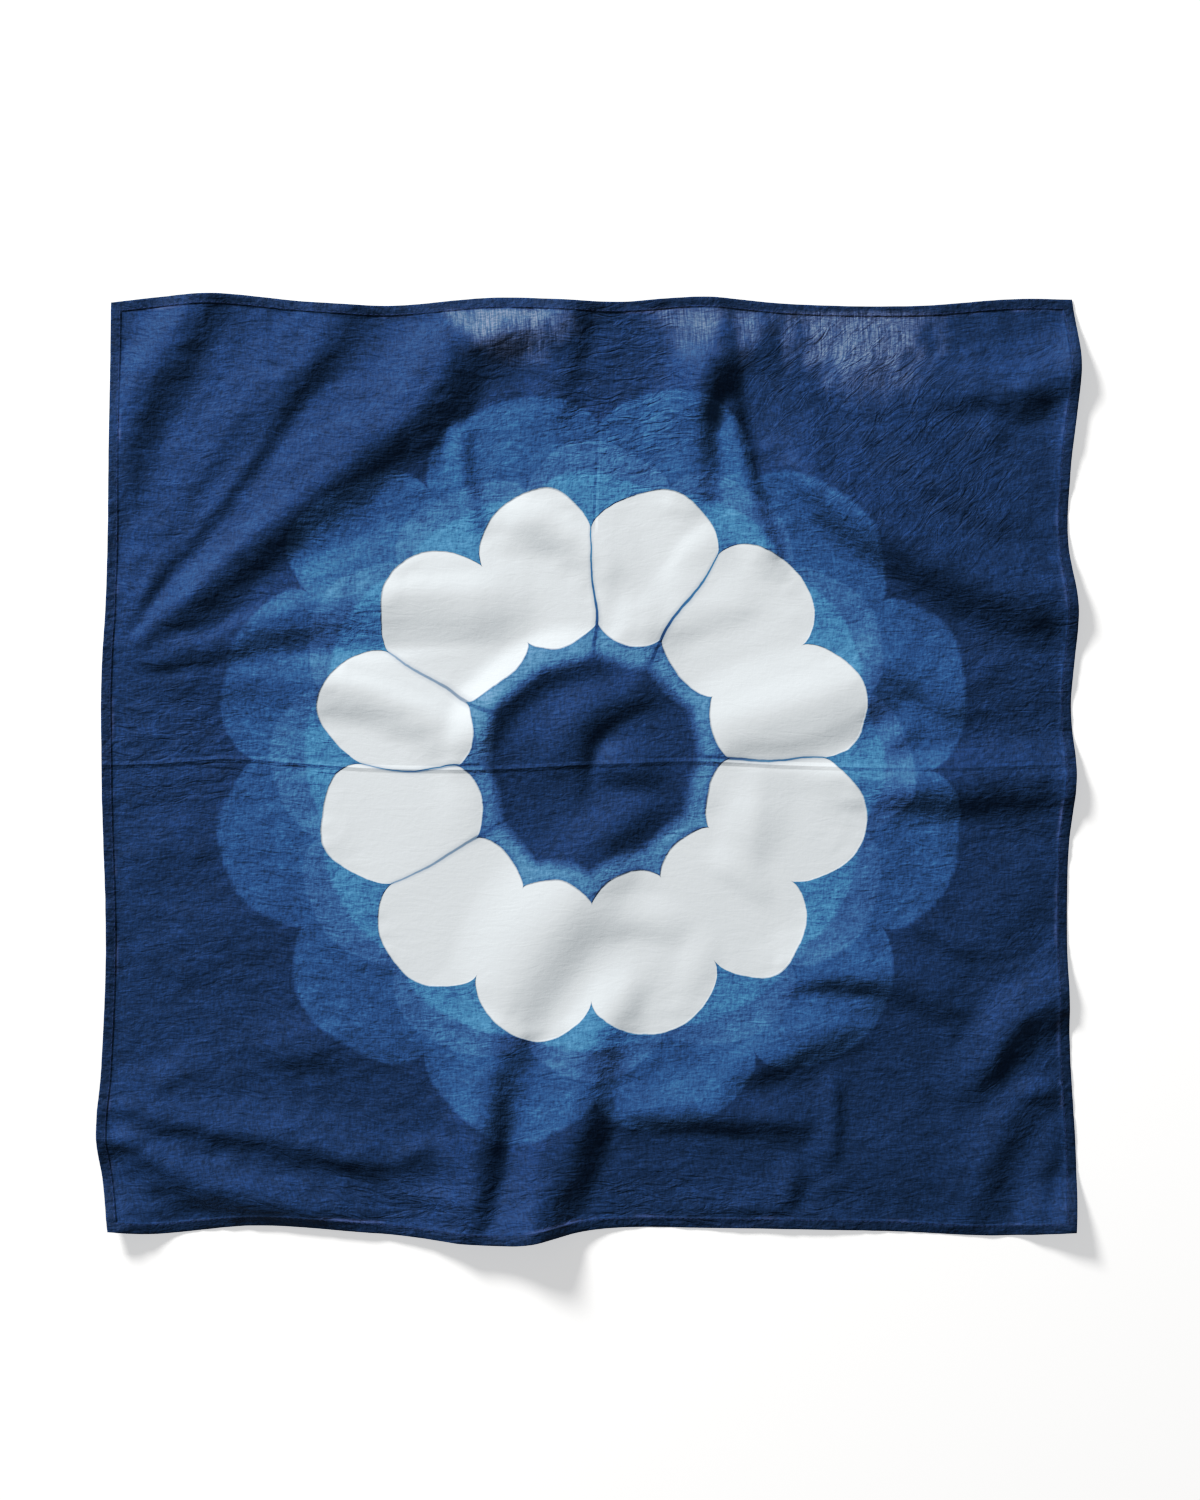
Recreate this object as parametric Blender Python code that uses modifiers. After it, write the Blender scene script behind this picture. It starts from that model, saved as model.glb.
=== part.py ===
"""A 22 inch square cotton bandana, laid out face up, with its folds as they fell."""

from collections import namedtuple

import bmesh
import bpy
import numpy as np

# Everything in the tables is in millimetres, seen from above, with x to the right and y up the cloth.
MM = 0.001

# The cloth
THICKNESS = 1.5
CELLS_ACROSS = 52
CELLS_UP = 51

# How the folds are drawn
STEPS_PER_SECTION = 12
CREST_ROUNDNESS = 0.16
FLAT_BLEND = 0.15

# Indigo-dyed cotton, as linear red, green and blue
INDIGO = (0.0123, 0.0319, 0.0953, 1.0)
COTTON_ROUGHNESS = 0.88

# One point of the outline, measured along each edge of the cloth from corner to corner
Point = namedtuple("Point", "x y")

TOP_EDGE = (
    Point(-273.0, 265.3),
    Point(-243.0, 268.5),
    Point(-214.0, 270.2),
    Point(-161.0, 265.6),
    Point(-120.0, 263.3),
    Point(-52.0, 267.9),
    Point(16.0, 265.6),
    Point(64.0, 268.5),
    Point(112.0, 264.5),
    Point(187.0, 263.3),
    Point(249.0, 267.3),
    Point(274.7, 266.8),
)
BOTTOM_EDGE = (
    Point(-273.6, -263.3),
    Point(-250.0, -265.0),
    Point(-190.0, -260.5),
    Point(-120.0, -265.0),
    Point(-45.0, -270.2),
    Point(3.0, -262.8),
    Point(71.0, -262.2),
    Point(167.0, -263.9),
    Point(242.0, -266.2),
    Point(275.9, -263.6),
)
LEFT_EDGE = (
    Point(-273.6, -263.3),
    Point(-277.5, -236.0),
    Point(-281.0, -213.0),
    Point(-278.7, -174.0),
    Point(-275.9, -106.0),
    Point(-278.2, -10.0),
    Point(-278.2, 58.0),
    Point(-276.4, 86.0),
    Point(-274.2, 168.0),
    Point(-273.0, 265.3),
)
RIGHT_EDGE = (
    Point(275.9, -263.6),
    Point(277.0, -243.0),
    Point(273.6, -161.0),
    Point(271.9, -92.0),
    Point(272.5, -51.0),
    Point(276.4, 3.0),
    Point(274.2, 31.0),
    Point(277.3, 92.0),
    Point(272.5, 127.0),
    Point(273.6, 168.0),
    Point(278.7, 236.0),
    Point(274.7, 266.8),
)

# A fold is a ridge that runs through its sections. Left and right are its widths on the two sides, as seen when
# walking from the first section to the last. With sharp at 1 it is steepest by the crest, at 0 it is evenly round,
# and below 0 it is steepest at its foot. Rise and fall are the lengths in which its two ends come up from the table.
Fold = namedtuple("Fold", "name sharp rise fall sections")
Section = namedtuple("Section", "x y height left right")

FOLDS = (
    Fold("long diagonal", 0.55, 14, 0, (
        Section(-268, 58, 2.0, 5, 4),
        Section(-222, 104, 6.0, 28, 18),
        Section(-160, 157, 9.0, 46, 27),
        Section(-103, 199, 10.5, 46, 20),
        Section(-84, 234, 10.0, 34, 19),
        Section(-60, 248, 7.5, 24, 22),
        Section(-22, 254, 6.0, 20, 22),
        Section(6, 280, 5.0, 20, 20),
    )),
    Fold("corner ridge", 0.5, 40, 0, (
        Section(-266, 128, 4.0, 12, 9),
        Section(-257, 182, 6.0, 24, 16),
        Section(-237, 226, 6.5, 30, 18),
        Section(-205, 285, 5.0, 30, 18),
    )),
    Fold("second diagonal", 0.45, 20, 0, (
        Section(-268, 58, 2.0, 5, 4),
        Section(-243, 124, 4.0, 28, 12),
        Section(-202, 192, 5.0, 34, 16),
        Section(-164, 233, 4.5, 34, 18),
        Section(-124, 280, 3.0, 30, 20),
    )),
    Fold("ridge from the pinch", -0.3, 14, 34, (
        Section(-268, 60, 2.0, 6, 5),
        Section(-200, 82, 4.0, 24, 17),
        Section(-125, 101, 6.0, 32, 31),
        Section(-88, 104, 6.5, 36, 34),
        Section(-26, 82, 4.0, 22, 22),
    )),
    Fold("ridge below the pinch", 0.1, 20, 26, (
        Section(-268, 58, 2.0, 6, 5),
        Section(-190, 49, 3.5, 20, 20),
        Section(-122, 42, 5.0, 28, 22),
        Section(-78, 14, 5.0, 26, 17),
        Section(-68, -10, 3.0, 18, 14),
    )),
    Fold("upright near the top", 0.35, 34, 0, (
        Section(56, 132, 3.0, 24, 14),
        Section(64, 178, 6.0, 32, 13),
        Section(70, 216, 8.5, 38, 12),
        Section(80, 282, 5.0, 34, 13),
    )),
    Fold("long right ridge", 0.4, 34, 0, (
        Section(88, 196, 4.0, 24, 12),
        Section(120, 170, 7.0, 42, 22),
        Section(180, 131, 9.0, 56, 28),
        Section(242, 101, 9.0, 50, 27),
        Section(290, 94, 9.0, 42, 30),
    )),
    Fold("upper right corner", 0.4, 30, 0, (
        Section(176, 210, 2.5, 20, 12),
        Section(222, 218, 4.0, 30, 15),
        Section(254, 217, 6.0, 30, 20),
        Section(290, 240, 6.5, 28, 18),
    )),
    Fold("above the centre", 0.2, 28, 26, (
        Section(-62, 138, 3.5, 26, 14),
        Section(-16, 136, 4.5, 34, 20),
        Section(15, 104, 4.5, 30, 17),
        Section(30, 62, 3.0, 20, 12),
    )),
    Fold("right of the centre", 0.2, 24, 30, (
        Section(18, 60, 3.0, 18, 12),
        Section(46, 82, 4.0, 28, 18),
        Section(108, 96, 3.0, 20, 13),
    )),
    Fold("above the middle crease", -0.35, 30, 40, (
        Section(44, 10, 4.5, 16, 12),
        Section(84, 24, 6.5, 32, 22),
        Section(132, 37, 7.0, 34, 30),
        Section(200, 68, 3.0, 20, 16),
    )),
    Fold("right end of the middle crease", 0.3, 40, 0, (
        Section(110, -2, 2.5, 14, 12),
        Section(176, -12, 4.5, 28, 22),
        Section(236, -11, 5.5, 32, 20),
        Section(290, -13, 6.0, 34, 24),
    )),
    Fold("lower right pinch", 0.5, 24, 0, (
        Section(204, -194, 3.0, 18, 8),
        Section(228, -171, 5.5, 32, 12),
        Section(249, -146, 6.5, 38, 13),
        Section(290, -128, 7.0, 40, 17),
    )),
    Fold("lower right fan", 0.3, 24, 30, (
        Section(214, -270, 2.5, 20, 12),
        Section(230, -220, 4.0, 28, 16),
        Section(262, -172, 2.5, 14, 10),
    )),
    Fold("right of the bottom", 0.2, 30, 38, (
        Section(46, -194, 2.5, 22, 13),
        Section(110, -164, 4.0, 36, 18),
        Section(172, -142, 2.5, 24, 14),
    )),
    Fold("right low swell", 0.1, 38, 38, (
        Section(92, -122, 2.5, 24, 14),
        Section(156, -116, 3.5, 38, 18),
        Section(226, -148, 2.5, 22, 15),
    )),
    Fold("level fold at the bottom", 0.3, 30, 18, (
        Section(-4, -200, 2.5, 22, 12),
        Section(54, -196, 3.5, 28, 16),
        Section(124, -206, 3.0, 22, 12),
    )),
    Fold("mouth at the bottom hem", 0.3, 0, 34, (
        Section(-34, -310, 12.0, 28, 30),
        Section(-31, -244, 10.0, 24, 24),
        Section(-15, -208, 8.5, 26, 19),
        Section(-2, -168, 6.5, 28, 19),
        Section(30, -106, 3.0, 22, 15),
    )),
    Fold("upright left of the mouth", 0.3, 16, 34, (
        Section(-74, -280, 4.0, 26, 10),
        Section(-62, -235, 6.5, 34, 12),
        Section(-59, -195, 6.5, 34, 15),
        Section(-50, -154, 5.5, 36, 20),
        Section(-32, -116, 7.0, 46, 28),
        Section(-4, -78, 7.5, 46, 28),
        Section(34, -36, 4.0, 26, 18),
    )),
    Fold("lower left upper ridge", 0.4, 0, 30, (
        Section(-290, -188, 2.0, 18, 8),
        Section(-244, -201, 4.0, 34, 13),
        Section(-154, -222, 4.5, 38, 14),
        Section(-74, -232, 3.0, 22, 10),
    )),
    Fold("lower left ridge", 0.35, 0, 30, (
        Section(-300, -202, 4.0, 10, 7),
        Section(-264, -214, 6.5, 17, 10),
        Section(-228, -237, 7.5, 26, 19),
        Section(-172, -250, 7.0, 28, 18),
        Section(-108, -264, 4.0, 18, 10),
    )),
    Fold("round the centre", 0.1, 26, 28, (
        Section(-34, -18, 2.5, 24, 13),
        Section(-14, 22, 4.0, 32, 20),
        Section(30, 44, 4.0, 28, 18),
        Section(58, 50, 2.5, 20, 14),
    )),
    Fold("below the centre", 0.1, 22, 24, (
        Section(-16, -52, 2.5, 22, 14),
        Section(14, -33, 3.5, 24, 19),
        Section(50, -14, 2.5, 20, 14),
    )),
)

# A swell is a low oval rise. Long and wide are half its length and half its width, and turn is in degrees.
Swell = namedtuple("Swell", "name x y long wide turn height")

SWELLS = (
    Swell("lift behind the bottom mouth", -52, -284, 96, 66, 0, 10.0),
    Swell("bottom left corner", -276, -272, 52, 40, 40, 9.0),
    Swell("bottom right corner", 284, -268, 48, 42, 0, 9.0),
    Swell("bottom hem, right half", 112, -276, 96, 30, 0, 3.5),
    Swell("right hem, upper part", 288, 196, 62, 32, 90, 5.0),
    Swell("left of the centre", -62, 6, 56, 26, 80, 3.0),
    Swell("right of the middle", 232, 52, 56, 28, -10, 2.2),
    Swell("below the middle crease", 93, -30, 38, 20, 84, 3.0),
    Swell("low on the left", -160, -158, 66, 26, 0, 2.4),
    Swell("left of the middle", -240, -44, 46, 24, 5, 2.2),
    Swell("top, left of the centre", -40, 172, 50, 44, 0, 2.4),
)


def row_values(rows, column):
    """One named column of a table."""
    return np.array([getattr(row, column) for row in rows], dtype=float)


def smooth_line(knots, values, wanted):
    """A smooth curve through the values at the knots, read off at the wanted places."""
    slopes = np.gradient(values, knots)
    left = np.clip(np.searchsorted(knots, wanted) - 1, 0, len(knots) - 2)
    span = knots[left + 1] - knots[left]
    t = (wanted - knots[left]) / span
    from_left = (1 + 2 * t) * (1 - t) ** 2 * values[left] + t * (1 - t) ** 2 * span * slopes[left]
    from_right = t ** 2 * (3 - 2 * t) * values[left + 1] - t ** 2 * (1 - t) * span * slopes[left + 1]
    return from_left + from_right


def ease(t):
    """Rises from 0 to 1 with a level start and end."""
    t = np.clip(t, 0.0, 1.0)
    return t * t * (3 - 2 * t)


def crest_line(fold):
    """The fold's crest as a close row of sections, with its height let down at the ends."""
    knots = np.arange(len(fold.sections), dtype=float)
    wanted = np.linspace(0, knots[-1], STEPS_PER_SECTION * (len(knots) - 1) + 1)
    columns = [smooth_line(knots, row_values(fold.sections, name), wanted) for name in Section._fields]
    line = Section(*columns)
    steps = np.hypot(np.diff(line.x), np.diff(line.y))
    walked = np.concatenate([[0.0], np.cumsum(steps)])
    height = line.height
    if fold.rise:
        height = height * ease(walked / fold.rise)
    if fold.fall:
        height = height * ease((walked[-1] - walked) / fold.fall)
    return line._replace(height=height)


def flank(share, sharp):
    """The height left at this share of the way from the crest to the foot."""
    share = np.clip(share, 0.0, 1.0)
    rounded = (1 - share ** 2) ** 2
    if sharp < 0:
        return (1 + sharp) * rounded - sharp * (1 - share ** 2)
    whole = np.hypot(1, CREST_ROUNDNESS) - CREST_ROUNDNESS
    pointed = (1 - (np.hypot(share, CREST_ROUNDNESS) - CREST_ROUNDNESS) / whole) ** 2
    return (1 - sharp) * rounded + sharp * pointed


def fold_height(fold, x, y):
    """How high this fold stands at each place."""
    line = crest_line(fold)
    nearest = np.full(x.shape, np.inf)
    height = np.zeros(x.shape)
    for i in range(len(line.x) - 1):
        along_x = line.x[i + 1] - line.x[i]
        along_y = line.y[i + 1] - line.y[i]
        t = (x - line.x[i]) * along_x + (y - line.y[i]) * along_y
        t = np.clip(t / (along_x ** 2 + along_y ** 2), 0.0, 1.0)
        off_x = x - line.x[i] - t * along_x
        off_y = y - line.y[i] - t * along_y
        away = np.hypot(off_x, off_y)
        top, left, right = (column[i] + t * (column[i + 1] - column[i]) for column in line[2:])
        width = np.where(along_x * off_y > along_y * off_x, left, right)
        closer = away < nearest
        height = np.where(closer, top * flank(away / width, fold.sharp), height)
        nearest = np.where(closer, away, nearest)
    return height


def swell_height(swell, x, y):
    """How high this swell stands at each place."""
    turn = np.radians(swell.turn)
    off_x = x - swell.x
    off_y = y - swell.y
    along = (off_x * np.cos(turn) + off_y * np.sin(turn)) / swell.long
    across = (off_y * np.cos(turn) - off_x * np.sin(turn)) / swell.wide
    return swell.height * np.clip(1 - along ** 2 - across ** 2, 0.0, None) ** 2


def cloth_height(x, y):
    """The underside of the cloth above the table, which is exactly level where no fold reaches."""
    height = sum(fold_height(fold, x, y) for fold in FOLDS)
    height = height + sum(swell_height(swell, x, y) for swell in SWELLS)
    return 0.5 * (height + np.hypot(height, FLAT_BLEND) - FLAT_BLEND)


def edge_across(edge, share):
    """A top or bottom edge, read off at shares of its length."""
    x = row_values(edge, "x")
    wanted = x[0] + share * (x[-1] - x[0])
    return np.stack([wanted, smooth_line(x, row_values(edge, "y"), wanted)])


def edge_up(edge, share):
    """A side edge, read off at shares of its length."""
    y = row_values(edge, "y")
    wanted = y[0] + share * (y[-1] - y[0])
    return np.stack([smooth_line(y, row_values(edge, "x"), wanted), wanted])


def cloth_places(across, up):
    """Where shares across and up the cloth lie in plan, between its four uneven edges."""
    bottom = edge_across(BOTTOM_EDGE, across)
    top = edge_across(TOP_EDGE, across)
    left = edge_up(LEFT_EDGE, up)
    right = edge_up(RIGHT_EDGE, up)
    between_ends = (1 - up) * bottom + up * top
    between_sides = (1 - across) * left + across * right
    lower = (1 - across) * np.array(BOTTOM_EDGE[0])[:, None] + across * np.array(BOTTOM_EDGE[-1])[:, None]
    upper = (1 - across) * np.array(TOP_EDGE[0])[:, None] + across * np.array(TOP_EDGE[-1])[:, None]
    return between_ends + between_sides - (1 - up) * lower - up * upper


def cotton_material():
    """Matt indigo-dyed cotton."""
    material = bpy.data.materials.new("indigo_cotton")
    material.use_nodes = True
    shader = material.node_tree.nodes["Principled BSDF"]
    shader.inputs["Base Color"].default_value = INDIGO
    shader.inputs["Roughness"].default_value = COTTON_ROUGHNESS
    shader.inputs["Metallic"].default_value = 0.0
    material.diffuse_color = INDIGO
    return material


def cloth_sheet():
    """The cloth as an open surface: an even grid, drawn out to the outline and raised into the folds."""
    mesh = bpy.data.meshes.new("bandana_cloth")
    grid = bmesh.new()
    bmesh.ops.create_grid(grid, x_segments=CELLS_ACROSS, y_segments=CELLS_UP, size=0.5)
    shares = np.array([vertex.co[:2] for vertex in grid.verts]).T + 0.5
    x, y = cloth_places(*shares)
    z = cloth_height(x, y)
    for vertex, place in zip(grid.verts, np.stack([x, y, z], axis=1) * MM):
        vertex.co = place
    grid.to_mesh(mesh)
    grid.free()
    return bpy.data.objects.new("bandana_cloth", mesh)


def thicken(cloth):
    """Gives the sheet its thickness, upwards, so that its underside stays on the table."""
    solidify = cloth.modifiers.new("thickness", "SOLIDIFY")
    solidify.thickness = THICKNESS * MM
    solidify.offset = 1.0
    solidify.use_even_offset = True


def centre_on_origin(cloth):
    """Puts the middle of the underside of the cloth's box at the origin."""
    bpy.context.view_layer.update()
    solid = cloth.evaluated_get(bpy.context.evaluated_depsgraph_get())
    corners = np.array([vertex.co for vertex in solid.data.vertices])
    middle = (corners.min(axis=0) + corners.max(axis=0)) / 2
    for vertex in cloth.data.vertices:
        vertex.co.x -= middle[0]
        vertex.co.y -= middle[1]


def main():
    for thing in list(bpy.data.objects):
        bpy.data.objects.remove(thing)
    collection = bpy.data.collections.new("bandana")
    bpy.context.scene.collection.children.link(collection)
    cloth = cloth_sheet()
    cloth.data.materials.append(cotton_material())
    collection.objects.link(cloth)
    thicken(cloth)
    centre_on_origin(cloth)


main()
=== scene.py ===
"""A 22 inch cotton bandana, folded and dipped in indigo, laid out face up in soft folds."""
from collections import namedtuple

import bpy
import numpy as np
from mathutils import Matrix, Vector, noise
from mathutils.bvhtree import BVHTree


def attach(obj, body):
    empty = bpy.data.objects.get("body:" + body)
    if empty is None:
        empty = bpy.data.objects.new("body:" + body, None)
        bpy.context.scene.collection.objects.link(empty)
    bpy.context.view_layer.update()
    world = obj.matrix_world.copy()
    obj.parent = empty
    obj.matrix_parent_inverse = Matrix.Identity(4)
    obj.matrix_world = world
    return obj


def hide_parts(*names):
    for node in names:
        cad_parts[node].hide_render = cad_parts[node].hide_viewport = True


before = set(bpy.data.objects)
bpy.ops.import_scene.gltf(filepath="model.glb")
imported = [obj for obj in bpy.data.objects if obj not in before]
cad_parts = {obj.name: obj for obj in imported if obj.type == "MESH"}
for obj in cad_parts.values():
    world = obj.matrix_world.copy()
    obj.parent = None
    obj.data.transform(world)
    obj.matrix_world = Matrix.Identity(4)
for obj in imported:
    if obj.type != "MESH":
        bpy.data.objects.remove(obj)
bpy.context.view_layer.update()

MM = 0.001
CLOTH_NODE = "bandana_cloth"

# Tables and sizes are in millimetres, with x to the right and y up the cloth as the camera sees it. They
# start near the cloth's middle, and MIDDLE says where the middle of the outline's box lies in them, which is
# the frame's origin. Materials measure in metres, so they take a size times MM.

# The cloth as cut and sewn, with a turned hem a quarter inch wide
CLOTH_THICKNESS = 0.2
HEM_LAYERS = 3
HEM_WIDTH = 6.4
STITCH_FROM_EDGE = 5.2
STITCH_LENGTH = 2.3
STITCH_GAP = 0.7
THREAD_THICKNESS = 0.24
THREAD_SIDES = 5

# The mesh's lines at the turned hem, which are close there, to round it, and the share of the hem's whole
# thickness at each. The last share is one layer of its three. In the field the lines lie a pitch apart.
HemLine = namedtuple("HemLine", "from_edge share")

HEM_SECTION = (
    HemLine(0.0, 0.40),
    HemLine(0.35, 0.72),
    HemLine(0.9, 0.94),
    HemLine(1.8, 1.0),
    HemLine(3.4, 1.0),
    HemLine(4.8, 1.0),
    HemLine(5.5, 0.97),
    HemLine(6.0, 0.86),
    HemLine(6.5, 0.66),
    HemLine(7.2, 0.46),
    HemLine(8.6, 0.335),
)
MESH_PITCH = 2.72

# One stitch from end to end: how far along it, and the thickness and rise there as shares of the thread's
# thickness
StitchRing = namedtuple("StitchRing", "along thick rise")

STITCH_RINGS = (
    StitchRing(0.0, 0.45, -0.45),
    StitchRing(0.18, 0.9, -0.05),
    StitchRing(0.5, 1.0, 0.1),
    StitchRing(0.82, 0.9, -0.05),
    StitchRing(1.0, 0.45, -0.45),
)

# The solid's surface is read off this far apart and smoothed over this many readings. A place at the very
# edge may miss the solid, and is then read at one of these shares of its distance from the middle.
READING_PITCH = 3.0
SMOOTH_OVER = 0.9
EDGE_SHARES = (1.0, 0.996, 0.99, 0.98)

# How creases are drawn, and how softly the cloth comes to rest on the ground
STEPS_PER_SECTION = 12
CREST_ROUNDNESS = 0.16
FLAT_BLEND = 0.12

# Waves of noise: along and up are their length and width, and slice is which of the noise's patterns they
# take. Noise layers say how rough it is, how much finer its second layer is, and how many layers it has.
Waves = namedtuple("Waves", "along up slice height")

NOISE_LAYERS = (1.0, 2.0, 2)

# Small swells left by washing and wringing. The flower lies smoother: the crumples start this far from the
# middle of the cloth and are whole after this much more.
LEVEL_CRUMPLE = Waves(24.0, 11.0, 3.0, 0.9)
ROUND_CRUMPLE = Waves(15.0, 13.0, 8.0, 0.9)
WIDE_SWELL = Waves(62.0, 48.0, 14.0, 0.7)
CRUMPLED_FROM = 125.0
CRUMPLED_OVER = 45.0

# The fold-dyed flower: its middle, its wedges, and how far from the middle each dip's dye stopped. A dip's
# edge lies at its base, and rises or falls from there in arches. Blur is how far the dye thins out to each
# side of it.
DYE_CENTRE = (2.0, 2.0)
WEDGES = 12
ARCH_FULLNESS = 0.6
Dip = namedtuple("Dip", "base rise blur")

DARK_MIDDLE = Dip(64.0, -4.0, 3.5)
DISC = Dip(79.0, -10.0, 0.5)
DISC_INSIDE_RIM = Dip(77.6, -10.0, 1.2)
PETALS = Dip(134.0, 26.0, 0.5)
PALEST_LOBES = Dip(153.0, 12.0, 1.2)
PALE_LOBES = Dip(160.0, 22.0, 0.9)
DEEP_LOBES = Dip(190.0, 30.0, 1.3)

# What moved the dye's edges: reach is how far off they may lie, in waves of this many to a metre
Drift = namedtuple("Drift", "reach per_metre detail")

FOLDED_UNEVENLY = Drift(22.0, 13.0, 1.0)
DYE_CREPT = Drift(1.1, 130.0, 2.0)

# The lines where dye ran along the folds narrow between these distances from the flower's middle, from the
# first of these half widths to the second
DyeLine = namedtuple("DyeLine", "wide_to narrow_from half_wide half_narrow")

DYE_LINES = DyeLine(70.0, 150.0, 1.3, 0.4)

# Patterns of the threads, as counts to a metre along the weft and up the warp. Real threads lie 0.36 mm
# apart, which is too fine to show, so their streaks are drawn 1.3 mm apart. They are drawn 0.8 mm apart where
# light showing through the thin weave is painted.
WEFT_STREAKS = (230.0, 780.0, 0.0)
WARP_STREAKS = (780.0, 210.0, 0.0)
LIT_THROUGH_WARP = (1200.0, 80.0, 0.0)
LIT_THROUGH_WEFT = (330.0, 1200.0, 0.0)
THREAD_CONTRAST = 0.33
CLOUD_CONTRAST = 0.14

# Creases left by wringing, as counts to a metre along and across them, and the way that they run at the upper
# right, in radians from the weft
WRINGING = (55.0, 165.0, 0.0)
SLANT = -0.8

# Heights of the bumps on the dyed cloth, and the share of them that the smoother undyed ring keeps
WRINGING_HEIGHT = 0.46
CRINKLE_HEIGHT = 0.5
THREAD_HEIGHT = 0.13
HEM_PUCKER_HEIGHT = 0.9
UNDYED_SHARE = 0.2

# A stretch that fades in and out: where it starts, is full, thins and ends
Stretch = namedtuple("Stretch", "starts full thins ends")

# The hem's three layers are darker by this share, which fades over this much of its inner edge. Its pale
# line, partly wear and partly a painted highlight where the turned edge catches the light, lies in this
# stretch from the cloth's edge.
HEM_DARKER = 0.28
HEM_TONE_EDGE = 0.8
WORN_AND_LIT_LINE = Stretch(5.4, 6.4, 6.6, 7.9)

# The two folding lines that were pressed in as the cloth was kept: the level one's y or the upright one's x,
# half its width, and its height, which is below 0 for a groove. The upright one shows only over this stretch.
PressedLine = namedtuple("PressedLine", "place half_width height")

LEVEL_LINE = PressedLine(0.5, 2.2, 0.6)
UPRIGHT_LINE = PressedLine(3.0, 1.6, -0.35)
UPRIGHT_STRETCH = Stretch(134.0, 142.0, 165.0, 215.0)

# The camera
PHOTO_HEIGHT = 1500
MM_PER_PIXEL = 0.57
PHOTO_CENTRE = (6.9, 10.3)
CAMERA_HEIGHT = 2000.0
SENSOR = 36.0

# The light comes from this direction and this many metres away. Its width is in metres, and its strength in
# watts per square metre facing it at the middle of the cloth. A pale room fills the shadows.
LIGHT_FROM = (-0.518, 0.693, 0.5)
LIGHT_AWAY = 3.4
LIGHT_WIDTH = 0.84
LIGHT_STRENGTH = 5.5
LIGHT_COLOUR = (1.0, 0.985, 0.96)
ROOM_COLOUR = (0.93, 0.96, 1.0, 1.0)
ROOM_STRENGTH = 0.14

# The ground reaches this many metres to each side, and glows a little, to show as white
GROUND_REACH = 20.0
GROUND_GLOW = 0.46

# The photo's contrast: how bright each amount of light is shown, with deep shadows and soft whites
Tone = namedtuple("Tone", "light shown")

TONE_CURVE = (
    Tone(0.0, 0.0),
    Tone(0.02, 0.0115),
    Tone(0.05, 0.034),
    Tone(0.1, 0.088),
    Tone(0.2, 0.245),
    Tone(0.32, 0.385),
    Tone(0.55, 0.585),
    Tone(0.9, 0.81),
    Tone(1.2, 1.0),
)
ALL_COLOURS_CURVE = 3

# One point of the outline, measured along each edge of the cloth from corner to corner
Point = namedtuple("Point", "x y")

TOP_EDGE = (
    Point(-273.0, 265.3),
    Point(-243.0, 268.5),
    Point(-214.0, 270.2),
    Point(-161.0, 265.6),
    Point(-120.0, 263.3),
    Point(-52.0, 267.9),
    Point(16.0, 265.6),
    Point(64.0, 268.5),
    Point(112.0, 264.5),
    Point(187.0, 263.3),
    Point(249.0, 267.3),
    Point(274.7, 266.8),
)
BOTTOM_EDGE = (
    Point(-273.6, -263.3),
    Point(-250.0, -265.0),
    Point(-190.0, -260.5),
    Point(-120.0, -265.0),
    Point(-45.0, -270.2),
    Point(3.0, -262.8),
    Point(71.0, -262.2),
    Point(167.0, -263.9),
    Point(242.0, -266.2),
    Point(275.9, -263.6),
)
LEFT_EDGE = (
    Point(-273.6, -263.3),
    Point(-277.5, -236.0),
    Point(-281.0, -213.0),
    Point(-278.7, -174.0),
    Point(-275.9, -106.0),
    Point(-278.2, -10.0),
    Point(-278.2, 58.0),
    Point(-276.4, 86.0),
    Point(-274.2, 168.0),
    Point(-273.0, 265.3),
)
RIGHT_EDGE = (
    Point(275.9, -263.6),
    Point(277.0, -243.0),
    Point(273.6, -161.0),
    Point(271.9, -92.0),
    Point(272.5, -51.0),
    Point(276.4, 3.0),
    Point(274.2, 31.0),
    Point(277.3, 92.0),
    Point(272.5, 127.0),
    Point(273.6, 168.0),
    Point(278.7, 236.0),
    Point(274.7, 266.8),
)

# A crease is a ridge that runs through its sections, or a trough where its heights are below 0. Left and
# right are its widths on the two sides, as seen when walking from the first section to the last. With sharp
# at 1 it is steepest by the crest, at 0 it is evenly round, and below 0 it is steepest at its foot. Rise and
# fall are the lengths in which its two ends come up.
Crease = namedtuple("Crease", "name sharp rise fall sections")
Section = namedtuple("Section", "x y height left right")

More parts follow.
